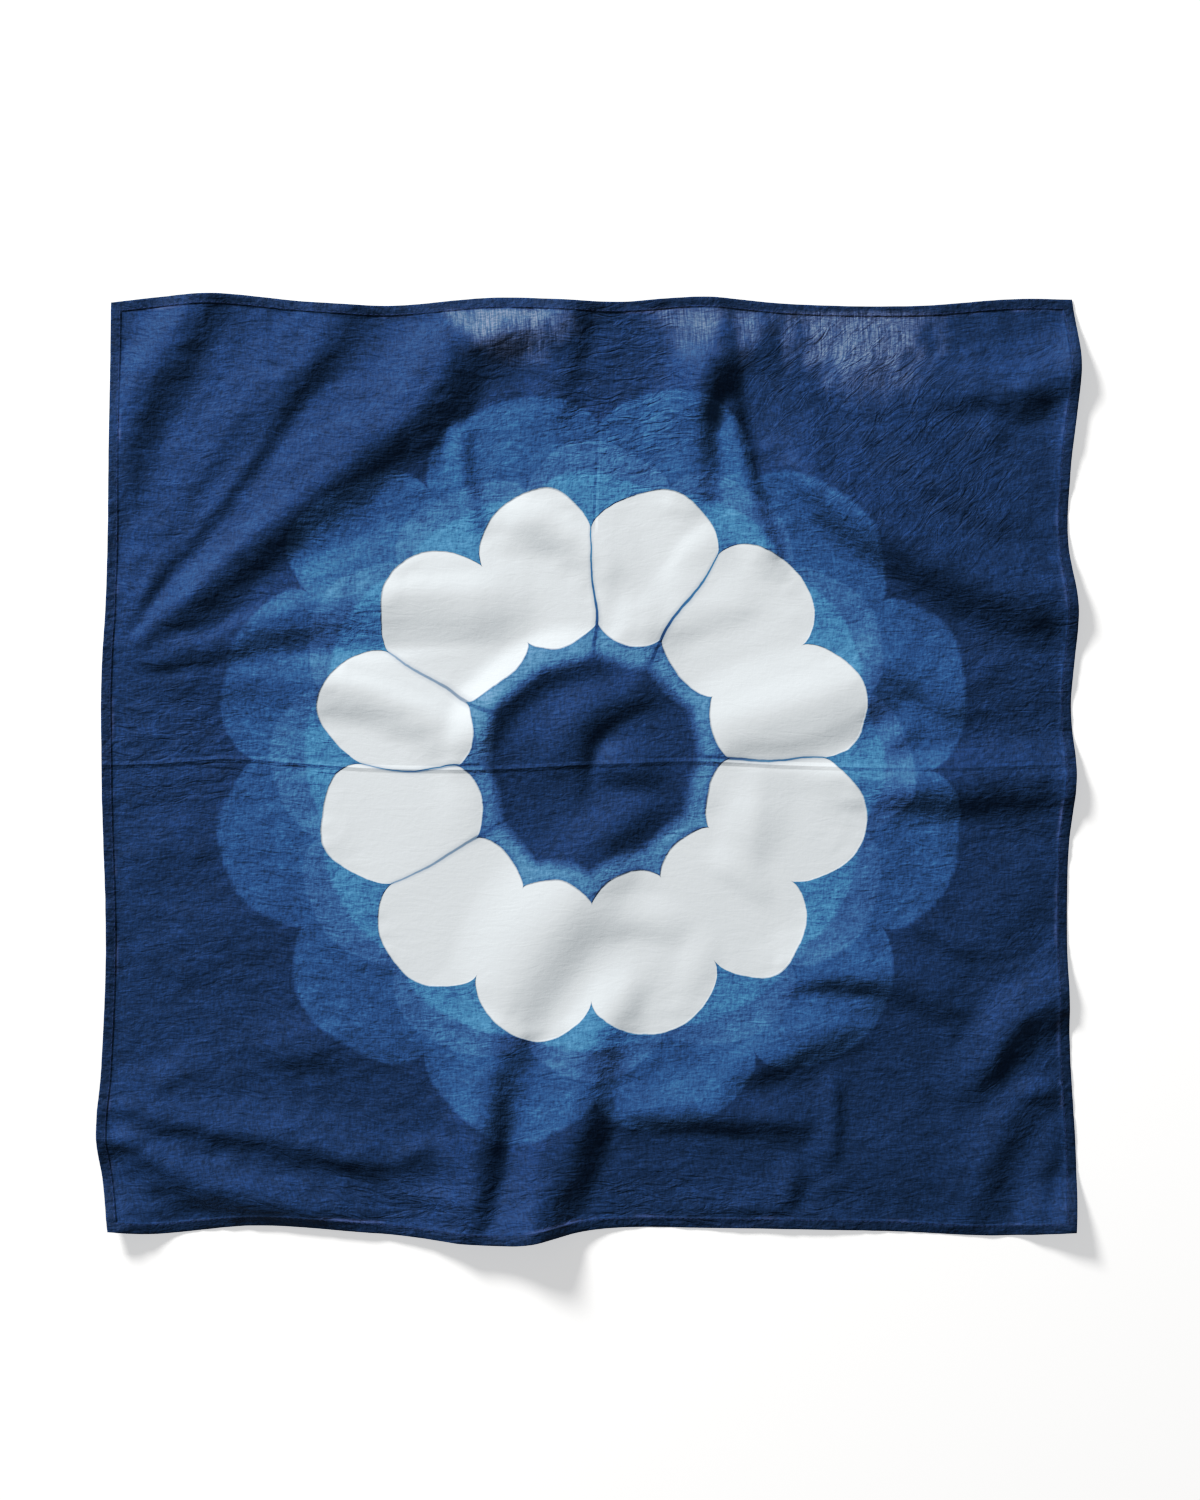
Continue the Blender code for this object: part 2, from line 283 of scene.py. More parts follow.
CREASES = (
    Crease("corner fold, outer edge", 0.45, 34, 0, (
        Section(-268, 160, 1.4, 12, 9),
        Section(-266, 196, 3.0, 14, 14),
        Section(-258, 222, 3.6, 16, 20),
        Section(-245, 244, 2.8, 18, 24),
        Section(-224, 276, 1.0, 20, 24),
    )),
    Crease("corner fold, lowered", 0.0, 24, 24, (
        Section(-258, 150, -0.8, 10, 12),
        Section(-250, 186, -2.4, 12, 14),
        Section(-240, 210, -2.4, 14, 16),
        Section(-226, 236, -1.8, 14, 16),
        Section(-211, 262, -1.2, 14, 16),
        Section(-200, 284, -0.8, 14, 16),
    )),
    Crease("second diagonal, inner edge", 0.45, 20, 18, (
        Section(-240, 112, 1.6, 12, 7),
        Section(-213, 148, 3.6, 14, 9),
        Section(-190, 180, 3.8, 16, 10),
        Section(-172, 209, 3.2, 18, 12),
        Section(-151, 236, 2.2, 18, 14),
        Section(-132, 256, 1.0, 16, 14),
    )),
    Crease("second diagonal, foot", 0.3, 10, 16, (
        Section(-268, 72, 0.5, 5, 4),
        Section(-257, 92, 1.5, 8, 5),
        Section(-244, 112, 2.0, 10, 7),
        Section(-229, 132, 1.0, 10, 8),
    )),
    Crease("long diagonal, shoulder", -0.2, 24, 20, (
        Section(-248, 76, 1.0, 10, 10),
        Section(-216, 98, 2.4, 16, 20),
        Section(-153, 151, 2.2, 18, 26),
        Section(-118, 176, 0.6, 18, 24),
    )),
    Crease("long diagonal, crest", 0.0, 14, 24, (
        Section(-264, 66, 0.8, 5, 7),
        Section(-246, 83, 2.8, 9, 15),
        Section(-226, 99, 4.0, 15, 24),
        Section(-196, 122, 1.9, 16, 20),
        Section(-158, 160, 0.6, 16, 12),
    )),
    Crease("end of the long diagonal", 0.0, 22, 14, (
        Section(-110, 164, 0.8, 24, 12),
        Section(-90, 190, 3.6, 22, 13),
        Section(-79, 212, 5.6, 18, 18),
        Section(-70, 238, 5.0, 17, 16),
    )),
    Crease("sliver beside the long diagonal", 0.2, 16, 12, (
        Section(-60, 130, 1.6, 7, 7),
        Section(-71, 158, 3.4, 9, 9),
        Section(-74, 180, 4.4, 10, 10),
        Section(-72, 200, 2.4, 10, 10),
    )),
    Crease("slope under the sheer place", -0.1, 16, 20, (
        Section(-78, 232, 1.2, 12, 16),
        Section(-60, 240, 3.2, 14, 22),
        Section(-44, 252, 2.0, 14, 17),
        Section(-33, 264, 1.0, 12, 13),
    )),
    Crease("upright at the top", 0.2, 20, 16, (
        Section(-20, 184, 0.8, 22, 9),
        Section(-17, 204, 2.2, 26, 11),
        Section(-14, 226, 3.0, 28, 12),
        Section(-10, 246, 2.6, 28, 13),
        Section(-4, 268, 1.2, 24, 12),
    )),
    Crease("pucker by the left hem", 0.45, 18, 22, (
        Section(-268, 78, 0.4, 8, 6),
        Section(-262, 108, 0.7, 10, 8),
        Section(-254, 136, 0.6, 12, 8),
        Section(-244, 166, 0.3, 12, 8),
    )),
    Crease("ridge from the pinch, foot", -0.4, 12, 24, (
        Section(-262, 57, 1.4, 6, 4),
        Section(-240, 63, 3.0, 12, 8),
        Section(-214, 68, 3.8, 14, 11),
        Section(-180, 78, 3.0, 18, 16),
        Section(-140, 91, 2.6, 16, 26),
        Section(-90, 98, 2.4, 14, 29),
        Section(-44, 99, 1.2, 12, 28),
    )),
    Crease("lip under the ridge from the pinch", 0.0, 24, 30, (
        Section(-246, 58, 0.3, 5, 10),
        Section(-200, 58, 0.5, 6, 16),
        Section(-150, 60, 0.6, 6, 18),
        Section(-98, 63, 0.6, 6, 18),
        Section(-46, 67, 0.5, 6, 14),
    )),
    Crease("left leg of the peak", -0.1, 14, 10, (
        Section(50, 187, 0.5, 16, 12),
        Section(57, 199, 2.6, 20, 17),
        Section(62, 212, 6.0, 22, 23),
        Section(68, 226, 6.8, 24, 21),
        Section(74, 241, 2.6, 18, 15),
    )),
    Crease("shoulder right of the peak", 0.0, 14, 14, (
        Section(93, 264, 1.4, 13, 26),
        Section(96, 245, 3.0, 15, 30),
        Section(99, 222, 1.4, 12, 26),
    )),
    Crease("right leg of the peak", 0.35, 22, 10, (
        Section(107, 104, 2.2, 16, 10),
        Section(99, 130, 4.2, 18, 12),
        Section(91, 156, 5.4, 16, 11),
        Section(85, 182, 6.4, 13, 10),
        Section(81, 200, 5.4, 11, 10),
        Section(79, 214, 2.8, 9, 10),
    )),
    Crease("long right ridge, edge", 0.25, 22, 30, (
        Section(106, 180, 2.6, 18, 8),
        Section(128, 157, 6.0, 26, 14),
        Section(154, 139, 7.6, 30, 18),
        Section(184, 120, 7.2, 29, 20),
        Section(214, 103, 5.8, 25, 22),
        Section(250, 88, 4.2, 22, 22),
        Section(276, 82, 2.6, 20, 20),
    )),
    Crease("ridge above the long right one", 0.2, 24, 40, (
        Section(138, 246, 2.1, 20, 12),
        Section(152, 208, 4.4, 28, 15),
        Section(172, 186, 5.6, 30, 16),
        Section(196, 164, 5.6, 32, 17),
        Section(226, 145, 4.2, 30, 16),
        Section(266, 130, 2.9, 26, 14),
    )),
    Crease("upper right corner, notch", 0.1, 20, 0, (
        Section(200, 210, 0.9, 20, 12),
        Section(226, 213, 2.2, 24, 16),
        Section(245, 212, 3.2, 26, 20),
        Section(260, 219, 2.4, 26, 18),
        Section(290, 231, 1.4, 20, 14),
    )),
    Crease("short upright near the right hem", 0.3, 12, 12, (
        Section(232, 176, 1.1, 16, 7),
        Section(230, 192, 1.7, 18, 8),
        Section(227, 208, 1.1, 16, 8),
    )),
    Crease("step right of the petals", 0.4, 20, 20, (
        Section(148, 72, 1.6, 18, 9),
        Section(172, 56, 2.8, 20, 10),
        Section(198, 38, 2.8, 20, 9),
        Section(226, 24, 1.6, 14, 8),
    )),
    Crease("wedge over the middle crease", 0.2, 8, 12, (
        Section(164, 14, 1.5, 12, 9),
        Section(178, 20, 2.4, 12, 12),
        Section(192, 30, 1.5, 12, 10),
    )),
    Crease("lip under the middle crease", 0.1, 20, 30, (
        Section(58, -2, 0.4, 3, 12),
        Section(90, -2, 0.7, 4, 15),
        Section(130, -2, 0.7, 4, 16),
        Section(172, -2, 0.4, 4, 14),
    )),
    Crease("right end of the middle crease, edge", -0.1, 24, 0, (
        Section(156, -12, 1.8, 12, 13),
        Section(192, -9, 4.2, 20, 21),
        Section(222, -7, 4.4, 24, 25),
        Section(256, -4, 2.6, 22, 22),
        Section(290, -2, 1.6, 18, 18),
    )),
    Crease("notch over the flower", 0.0, 22, 26, (
        Section(40, 92, 1.0, 14, 18),
        Section(58, 122, 1.6, 12, 24),
        Section(90, 140, 1.0, 14, 18),
    )),
    Crease("above the middle crease, lowered", 0.0, 14, 30, (
        Section(46, 10, -1.4, 20, 12),
        Section(84, 24, -2.4, 30, 14),
        Section(132, 37, -2.4, 32, 16),
        Section(190, 62, -0.8, 18, 12),
    )),
    Crease("right of the dark middle", -0.1, 6, 22, (
        Section(2, 3, 1.8, 14, 11),
        Section(20, 1, 5.6, 20, 15),
        Section(52, -3, 3.2, 14, 12),
    )),
    Crease("crescent round the dark middle", 0.1, 24, 22, (
        Section(-70, 0, 1.8, 22, 14),
        Section(-54, 36, 4.3, 22, 16),
        Section(-18, 60, 4.7, 22, 15),
        Section(22, 59, 2.5, 18, 12),
    )),
    Crease("comma in the dark middle", 0.0, 18, 16, (
        Section(-12, -36, 0.3, 14, 10),
        Section(-9, -14, 1.4, 18, 10),
        Section(-7, 5, 3.8, 24, 11),
        Section(-1, 21, 3.0, 26, 12),
        Section(16, 34, 1.4, 24, 12),
        Section(40, 44, 0.5, 16, 12),
    )),
    Crease("comma, lowered", 0.0, 10, 14, (
        Section(2, 5, -0.8, 12, 10),
        Section(8, 18, -1.5, 16, 13),
        Section(24, 27, -1.5, 16, 13),
        Section(44, 34, -0.9, 13, 12),
    )),
    Crease("band over the flower", 0.0, 20, 20, (
        Section(-52, 152, 0.8, 12, 16),
        Section(-24, 138, 1.7, 13, 18),
        Section(4, 121, 1.7, 13, 18),
        Section(20, 98, 0.8, 12, 14),
    )),
    Crease("band in the left petals", 0.0, 20, 20, (
        Section(-168, 54, 0.6, 10, 20),
        Section(-124, 42, 1.7, 11, 24),
        Section(-74, 22, 0.8, 10, 20),
    )),
    Crease("shoulder over the middle crease", 0.0, 20, 24, (
        Section(62, 15, 0.5, 18, 12),
        Section(98, 28, 1.6, 20, 14),
        Section(140, 41, 1.6, 20, 15),
        Section(178, 57, 0.5, 16, 12),
    )),
    Crease("low in the dark middle", 0.1, 12, 14, (
        Section(2, -46, 0.6, 14, 9),
        Section(24, -30, 1.2, 16, 12),
        Section(46, -17, 0.6, 14, 9),
    )),
    Crease("lower right pinch, edge", 0.35, 16, 0, (
        Section(218, -182, 0.8, 16, 7),
        Section(230, -166, 2.0, 20, 9),
        Section(240, -147, 2.4, 22, 10),
        Section(256, -134, 2.0, 22, 10),
        Section(290, -121, 0.8, 20, 10),
    )),
    Crease("first fan, lower right", 0.35, 20, 18, (
        Section(224, -256, 0.4, 14, 8),
        Section(230, -224, 0.8, 20, 10),
        Section(239, -198, 0.8, 18, 9),
        Section(251, -180, 0.4, 12, 8),
    )),
    Crease("second fan, lower right", 0.4, 16, 22, (
        Section(250, -268, 1.8, 14, 8),
        Section(257, -236, 2.2, 16, 9),
        Section(269, -200, 0.6, 12, 8),
    )),
    Crease("short step by the right hem", 0.3, 10, 10, (
        Section(242, -186, 2.0, 10, 7),
        Section(256, -184, 3.0, 10, 9),
        Section(272, -186, 2.0, 10, 8),
    )),
    Crease("right low swell, edge", 0.2, 18, 18, (
        Section(114, -121, 1.7, 18, 8),
        Section(148, -120, 3.1, 24, 11),
        Section(180, -125, 2.8, 22, 11),
        Section(202, -136, 2.8, 18, 14),
        Section(216, -152, 1.4, 14, 12),
    )),
    Crease("right of the bottom, edge", 0.2, 16, 18, (
        Section(66, -180, 0.8, 20, 9),
        Section(98, -170, 1.9, 26, 12),
        Section(128, -155, 1.9, 26, 12),
        Section(158, -147, 1.2, 22, 11),
    )),
    Crease("level fold at the bottom, edge", 0.25, 20, 14, (
        Section(6, -195, 1.2, 14, 9),
        Section(40, -197, 2.8, 18, 13),
        Section(80, -198, 3.4, 20, 14),
        Section(114, -202, 2.8, 18, 13),
        Section(134, -205, 1.2, 14, 9),
    )),
    Crease("corner under the level fold", 0.3, 50, 22, (
        Section(6, -251, 1.0, 12, 7),
        Section(60, -251, 1.6, 15, 8),
        Section(98, -250, 2.3, 18, 9),
        Section(112, -246, 2.6, 18, 9),
        Section(116, -233, 2.6, 16, 9),
        Section(117, -214, 1.6, 14, 8),
    )),
    Crease("upright right of the level fold", 0.2, 16, 16, (
        Section(137, -232, 2.0, 14, 6),
        Section(139, -205, 3.0, 16, 7),
        Section(138, -168, 2.0, 14, 7),
    )),
    Crease("slant by the right petals", 0.2, 12, 16, (
        Section(176, -82, 1.5, 12, 7),
        Section(200, -96, 2.5, 14, 8),
        Section(222, -112, 1.5, 12, 8),
    )),
    Crease("mouth, right edge", 0.1, 0, 22, (
        Section(-34, -280, 1.2, 16, 18),
        Section(-24, -254, 2.4, 16, 18),
        Section(-11, -234, 5.0, 16, 17),
        Section(-4, -215, 6.0, 17, 16),
        Section(1, -196, 5.4, 18, 14),
        Section(5, -170, 2.2, 18, 12),
    )),
    Crease("fill beside the upright", -0.1, 20, 26, (
        Section(-62, -142, 1.0, 30, 26),
        Section(-43, -106, 2.4, 40, 36),
        Section(-15, -68, 2.4, 40, 36),
        Section(22, -28, 1.0, 24, 24),
    )),
    Crease("upright, lowered", 0.3, 16, 26, (
        Section(-50, -154, -1.5, 36, 20),
        Section(-32, -116, -3.6, 46, 28),
        Section(-4, -78, -3.0, 46, 28),
        Section(34, -36, -0.8, 26, 18),
    )),
    Crease("mouth, left edge", -0.2, 12, 24, (
        Section(-69, -266, 1.4, 16, 10),
        Section(-63, -243, 4.0, 22, 13),
        Section(-61, -217, 4.6, 24, 14),
        Section(-58, -188, 1.8, 22, 14),
        Section(-52, -160, 1.0, 20, 14),
    )),
    Crease("lower left upper ridge, edge", 0.4, 10, 20, (
        Section(-274, -193, 1.3, 10, 5),
        Section(-240, -202, 2.2, 18, 7),
        Section(-200, -208, 2.8, 22, 10),
        Section(-166, -214, 2.8, 22, 11),
        Section(-140, -222, 2.8, 20, 10),
        Section(-110, -229, 2.0, 18, 9),
    )),
    Crease("lower left ridge, edge", 0.2, 8, 20, (
        Section(-272, -209, 1.3, 10, 5),
        Section(-242, -225, 2.2, 14, 8),
        Section(-222, -236, 3.2, 18, 15),
        Section(-196, -243, 3.1, 20, 17),
        Section(-160, -250, 2.0, 18, 12),
        Section(-124, -256, 1.1, 12, 8),
    )),
    Crease("soft fold, lower left", 0.2, 22, 22, (
        Section(-194, -160, 1.0, 20, 10),
        Section(-165, -163, 1.8, 24, 12),
        Section(-134, -164, 1.0, 20, 10),
    )),
    Crease("low arc by the left hem", 0.2, 16, 20, (
        Section(-252, -188, 0.9, 14, 7),
        Section(-234, -173, 1.5, 18, 8),
        Section(-204, -166, 0.9, 16, 8),
    )),
    Crease("tuck by the bottom hem", 0.3, 14, 14, (
        Section(-116, -222, 1.4, 12, 10),
        Section(-96, -219, 2.2, 14, 12),
        Section(-72, -222, 1.4, 12, 10),
    )),
    Crease("lower tuck by the bottom hem", 0.4, 12, 12, (
        Section(-112, -244, 1.2, 9, 7),
        Section(-84, -246, 2.0, 10, 8),
        Section(-58, -250, 1.6, 10, 8),
    )),
    Crease("upright under the flower", 0.1, 18, 24, (
        Section(16, -158, 0.4, 14, 10),
        Section(24, -134, 0.5, 16, 11),
        Section(36, -104, 0.4, 14, 10),
    )),
    Crease("shelf under the flower", 0.0, 22, 26, (
        Section(-6, -94, 1.0, 16, 12),
        Section(28, -86, 1.8, 18, 14),
        Section(66, -98, 1.0, 16, 12),
    )),
    Crease("slope under the middle crease", 0.1, 22, 26, (
        Section(62, -46, 1.0, 14, 10),
        Section(88, -64, 1.5, 16, 11),
        Section(112, -84, 1.0, 14, 10),
    )),
)

# A dimple is a low oval rise, or a hollow where its height is below 0. Long and wide are half its length and
# width, and turn is how far its length lies from the weft, in degrees.
Dimple = namedtuple("Dimple", "name x y long wide turn height")

DIMPLES = (
    Dimple("top of the peak, lowered", 74, 266, 34, 34, 90, -4.0),
    Dimple("left petals, lowered", -100, 98, 66, 26, 2, -1.8),
    Dimple("right petals, lowered", 72, 88, 50, 24, 12, -1.6),
    Dimple("under the middle crease", 60, -12, 26, 16, -14, 1.2),
    Dimple("lower petals", 62, -112, 26, 15, 74, 1.2),
    Dimple("left petals", -150, -48, 26, 18, 60, 0.8),
    Dimple("left low field", -228, -178, 46, 16, 6, 1.4),
    Dimple("left field", -216, -96, 60, 30, 25, 1.6),
    Dimple("lower right field", 170, -225, 60, 34, 10, 1.8),
    Dimple("right field", 236, -80, 50, 30, 60, 2.0),
    Dimple("bottom left corner, lifted", -270, -264, 42, 24, 0, 3.0),
    Dimple("bump of the bottom hem, lifted", -42, -270, 54, 26, 0, 5.0),
    Dimple("bottom right corner, lifted", 274, -262, 34, 34, 0, 4.4),
    Dimple("right hem at the top, lifted", 278, 205, 66, 16, 90, 2.4),
    Dimple("right hem in the middle, lifted", 277, 78, 52, 13, 90, 3.0),
    Dimple("right hem under the middle crease, lifted", 275, -20, 40, 13, 90, 2.5),
)

# Painted light: places at the top where light shows through the thin weave, painted as paler threads. Each
# hangs from the hem, leans by a share of its depth and narrows by a share of its width. Its sides and foot
# are ragged: the first of their two shares is how soon the place is at its full strength, and the second how
# far its ragged streaks reach.
LitThroughPatch = namedtuple("LitThroughPatch", "name x top half_width depth lean strength")

LIT_THROUGH_NARROWS_BY = 0.6
LIT_THROUGH_STARTS_OVER = 2.5
LIT_THROUGH_SIDES = (1.5, 0.5)
LIT_THROUGH_FOOT = (1.3, 0.6)
RAGGED_STREAKS = Waves(9.0, 16.0, 5.0, 1.0)
LIT_THROUGH_PATCHES = (
    LitThroughPatch("left", -46, 262, 50, 38, 0.1, 0.8),
    LitThroughPatch("middle", 56, 263, 36, 34, 0.2, 0.6),
    LitThroughPatch("beside the peak", 90, 262, 12, 40, 0.0, 0.5),
    LitThroughPatch("right", 152, 261, 60, 62, 0.2, 0.9),
)

# Where wringing left the most creases. Long, wide and turn are as in a dimple, and slant is how far its
# creases turn from the weft to the slanting way, from 0 to 1. A place is at its full strength in its middle.
WrungPlace = namedtuple("WrungPlace", "name x y long wide turn strength slant")

WRUNG_FULLNESS = 1.5
WRUNG_ELSEWHERE = 0.45
WRUNG_PLACES = (
    WrungPlace("between the folds at the top", 18, 215, 62, 80, 0, 1.0, 0.0),
    WrungPlace("upper right", 168, 190, 150, 80, -40, 0.8, 1.0),
    WrungPlace("right hem", 250, 40, 60, 130, 0, 0.9, 0.3),
    WrungPlace("lower right hem", 250, -150, 50, 110, 0, 0.8, 0.5),
    WrungPlace("under the pinch", -235, 10, 60, 50, 0, 0.8, 0.0),
    WrungPlace("bottom hem", -20, -250, 260, 30, 0, 1.0, 0.0),
)


def row_values(rows, column):
    """One named column of a table."""
    return np.array([getattr(row, column) for row in rows], dtype=float)


def smooth_line(knots, values, wanted):
    """A smooth curve through the rows of values at the knots, read off at the wanted places."""
    slopes = np.gradient(values, knots, axis=0)
    left = np.clip(np.searchsorted(knots, wanted) - 1, 0, len(knots) - 2)
    span = knots[left + 1] - knots[left]
    t = (wanted - knots[left]) / span
    if values.ndim > 1:
        span = span[:, None]
        t = t[:, None]
    from_left = (1 + 2 * t) * (1 - t) ** 2 * values[left] + t * (1 - t) ** 2 * span * slopes[left]
    from_right = t ** 2 * (3 - 2 * t) * values[left + 1] - t ** 2 * (1 - t) * span * slopes[left + 1]
    return from_left + from_right


def ease(t):
    """Rises from 0 to 1 with a level start and end."""
    t = np.clip(t, 0.0, 1.0)
    return t * t * (3 - 2 * t)


def crest_line(crease):
    """The crease's crest as a close row of sections, with its height let down at the ends."""
    knots = np.arange(len(crease.sections), dtype=float)
    wanted = np.linspace(0, knots[-1], STEPS_PER_SECTION * (len(knots) - 1) + 1)
    columns = [smooth_line(knots, row_values(crease.sections, name), wanted) for name in Section._fields]
    line = Section(*columns)
    steps = np.hypot(np.diff(line.x), np.diff(line.y))
    along = np.concatenate([[0.0], np.cumsum(steps)])
    rise = ease(along / crease.rise) if crease.rise else 1.0
    fall = ease((along[-1] - along) / crease.fall) if crease.fall else 1.0
    return line._replace(height=line.height * rise * fall)


def flank(share, sharp):
    """The height left at this share of the way from the crest to the foot."""
    share = np.clip(share, 0.0, 1.0)
    rounded = (1 - share ** 2) ** 2
    if sharp < 0:
        return (1 + sharp) * rounded - sharp * (1 - share ** 2)
    whole = np.hypot(1, CREST_ROUNDNESS) - CREST_ROUNDNESS
    pointed = (1 - (np.hypot(share, CREST_ROUNDNESS) - CREST_ROUNDNESS) / whole) ** 2
    return (1 - sharp) * rounded + sharp * pointed


def crease_height(crease, x, y):
    """How high this crease stands at each place."""
    line = crest_line(crease)
    nearest = np.full(x.shape, np.inf)
    height = np.zeros(x.shape)
    for i in range(len(line.x) - 1):
        along_x = line.x[i + 1] - line.x[i]
        along_y = line.y[i + 1] - line.y[i]
        t = (x - line.x[i]) * along_x + (y - line.y[i]) * along_y
        t = np.clip(t / (along_x ** 2 + along_y ** 2), 0.0, 1.0)
        off_x = x - line.x[i] - t * along_x
        off_y = y - line.y[i] - t * along_y
        away = np.hypot(off_x, off_y)
        sizes = (line.height, line.left, line.right)
        top, left, right = (size[i] + t * (size[i + 1] - size[i]) for size in sizes)
        width = np.where(along_x * off_y > along_y * off_x, left, right)
        closer = away < nearest
        height = np.where(closer, top * flank(away / width, crease.sharp), height)
        nearest = np.where(closer, away, nearest)
    return height


def dimple_height(dimple, x, y):
    """How high this dimple stands at each place."""
    turn = np.radians(dimple.turn)
    off_x = x - dimple.x
    off_y = y - dimple.y
    along = (off_x * np.cos(turn) + off_y * np.sin(turn)) / dimple.long
    across = (off_y * np.cos(turn) - off_x * np.sin(turn)) / dimple.wide
    return dimple.height * np.clip(1 - along ** 2 - across ** 2, 0.0, None) ** 2


def edge_across(edge, share):
    """A top or bottom edge, read off at shares of its length."""
    x = row_values(edge, "x")
    wanted = x[0] + share * (x[-1] - x[0])
    return np.stack([wanted, smooth_line(x, row_values(edge, "y"), wanted)])


def edge_up(edge, share):
    """A side edge, read off at shares of its length."""
    y = row_values(edge, "y")
    wanted = y[0] + share * (y[-1] - y[0])
    return np.stack([smooth_line(y, row_values(edge, "x"), wanted), wanted])


def cloth_places(across, up):
    """Where shares across and up the cloth lie in plan, between its four uneven edges."""
    shape = across.shape
    across = across.ravel()
    up = up.ravel()
    bottom = edge_across(BOTTOM_EDGE, across)
    top = edge_across(TOP_EDGE, across)
    left = edge_up(LEFT_EDGE, up)
    right = edge_up(RIGHT_EDGE, up)
    between_ends = (1 - up) * bottom + up * top
    between_sides = (1 - across) * left + across * right
    lower = (1 - across) * np.array(BOTTOM_EDGE[0])[:, None] + across * np.array(BOTTOM_EDGE[-1])[:, None]
    upper = (1 - across) * np.array(TOP_EDGE[0])[:, None] + across * np.array(TOP_EDGE[-1])[:, None]
    places = between_ends + between_sides - (1 - up) * lower - up * upper
    return places.reshape(2, *shape)


def outline_middle():
    """The middle of the outline's box, which is where the frame's origin lies."""
    share = np.linspace(0, 1, 400)
    edges = [edge_across(TOP_EDGE, share), edge_across(BOTTOM_EDGE, share)]
    edges += [edge_up(LEFT_EDGE, share), edge_up(RIGHT_EDGE, share)]
    points = np.concatenate(edges, axis=1)
    return (points.min(axis=1) + points.max(axis=1)) / 2


MIDDLE = outline_middle()


def solid_reader():
    """A function that gives the height of the solid's underside, in millimetres, at a place in the tables."""
    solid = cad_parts[CLOTH_NODE].data
    corners = [vertex.co for vertex in solid.vertices]
    tree = BVHTree.FromPolygons(corners, [tuple(face.vertices) for face in solid.polygons])
    metres_below = -0.1
    upwards = Vector((0.0, 0.0, 1.0))

    def read(x, y):
        for inwards in EDGE_SHARES:
            start = Vector(((x * inwards - MIDDLE[0]) * MM, (y * inwards - MIDDLE[1]) * MM, metres_below))
            hit = tree.ray_cast(start, upwards)[0]
            if hit is not None:
                return hit.z / MM
        return 0.0

    return read


def soften(values, spread):
    """Values smoothed along both axes of their grid."""
    reach = int(3 * spread) + 1
    weights = np.exp(-0.5 * (np.arange(-reach, reach + 1) / spread) ** 2)
    weights /= weights.sum()
    for axis in (0, 1):
        margin = [(reach, reach) if axis == side else (0, 0) for side in (0, 1)]
        padded = np.pad(values, margin, mode="edge")
        values = np.apply_along_axis(np.convolve, axis, padded, weights, "valid")
    return values


def solid_height(across, up):
    """The solid's folds at the mesh's lines, without the facets of the solid."""
    read = solid_reader()
    columns = np.linspace(0, 1, int(CLOTH_WIDTH / READING_PITCH))
    rows = np.linspace(0, 1, int(CLOTH_LENGTH / READING_PITCH))
    x, y = cloth_places(*np.meshgrid(columns, rows))
    readings = np.vectorize(read)(x, y)
    readings = soften(readings, SMOOTH_OVER)
    by_row = smooth_line(rows, readings, up)
    return smooth_line(columns, by_row.T.copy(), across).T


def wrinkles(x, y, waves):
    """Uneven values, mostly between -1 and 1, with waves of this size at a place."""
    return noise.fractal((x / waves.along, y / waves.up, waves.slice), *NOISE_LAYERS)


def crumple_height(x, y):
    """How high the small swells stand at a place."""
    crumples = 0.0
    for waves in (LEVEL_CRUMPLE, ROUND_CRUMPLE):
        crumples += waves.height * abs(wrinkles(x, y, waves))
    outside = float(ease((np.hypot(x, y) - CRUMPLED_FROM) / CRUMPLED_OVER))
    swell = noise.noise((x / WIDE_SWELL.along, y / WIDE_SWELL.up, WIDE_SWELL.slice))
    return outside * crumples + WIDE_SWELL.height * swell


def mesh_lines(length):
    """Distances from one edge of the cloth to the other, close at both hems."""
    hem = row_values(HEM_SECTION, "from_edge")
    steps = int(round((length - 2 * hem[-1]) / MESH_PITCH))
    field = np.linspace(hem[-1], length - hem[-1], steps + 1)[1:-1]
    return np.concatenate([hem, field, length - hem[::-1]])


CLOTH_WIDTH = TOP_EDGE[-1].x - TOP_EDGE[0].x
CLOTH_LENGTH = LEFT_EDGE[-1].y - LEFT_EDGE[0].y

Cloth = namedtuple("Cloth", "across up x y z from_edge")


def lay_cloth():
    """The cloth's underside on the mesh's lines, in millimetres."""
    across_lines = mesh_lines(CLOTH_WIDTH)
    up_lines = mesh_lines(CLOTH_LENGTH)
    across, up = np.meshgrid(across_lines, up_lines)
    x, y = cloth_places(across / CLOTH_WIDTH, up / CLOTH_LENGTH)
    z = solid_height(across_lines / CLOTH_WIDTH, up_lines / CLOTH_LENGTH)
    for crease in CREASES:
        z = z + crease_height(crease, x, y)
    for dimple in DIMPLES:
        z = z + dimple_height(dimple, x, y)
    z = z + np.vectorize(crumple_height)(x, y)
    z = 0.5 * (z + np.hypot(z, FLAT_BLEND))
    from_edge = np.minimum.reduce([across, CLOTH_WIDTH - across, up, CLOTH_LENGTH - up])
    return Cloth(across_lines, up_lines, x, y, z, from_edge)


def walked(steps):
    """Distances walked from the middle of each row to its places."""
    total = np.concatenate([np.zeros((steps.shape[0], 1)), np.cumsum(steps, axis=1)], axis=1)
    return total - total[:, [total.shape[1] // 2]]


def cut_places(cloth):
    """Where each place was on the flat cloth as it was dyed, measured along its threads."""
    places = np.stack([cloth.x, cloth.y, cloth.z], axis=2)
    weft_steps = np.linalg.norm(np.diff(places, axis=1), axis=2)
    warp_steps = np.linalg.norm(np.diff(places, axis=0), axis=2)
    return walked(weft_steps), walked(warp_steps.T).T


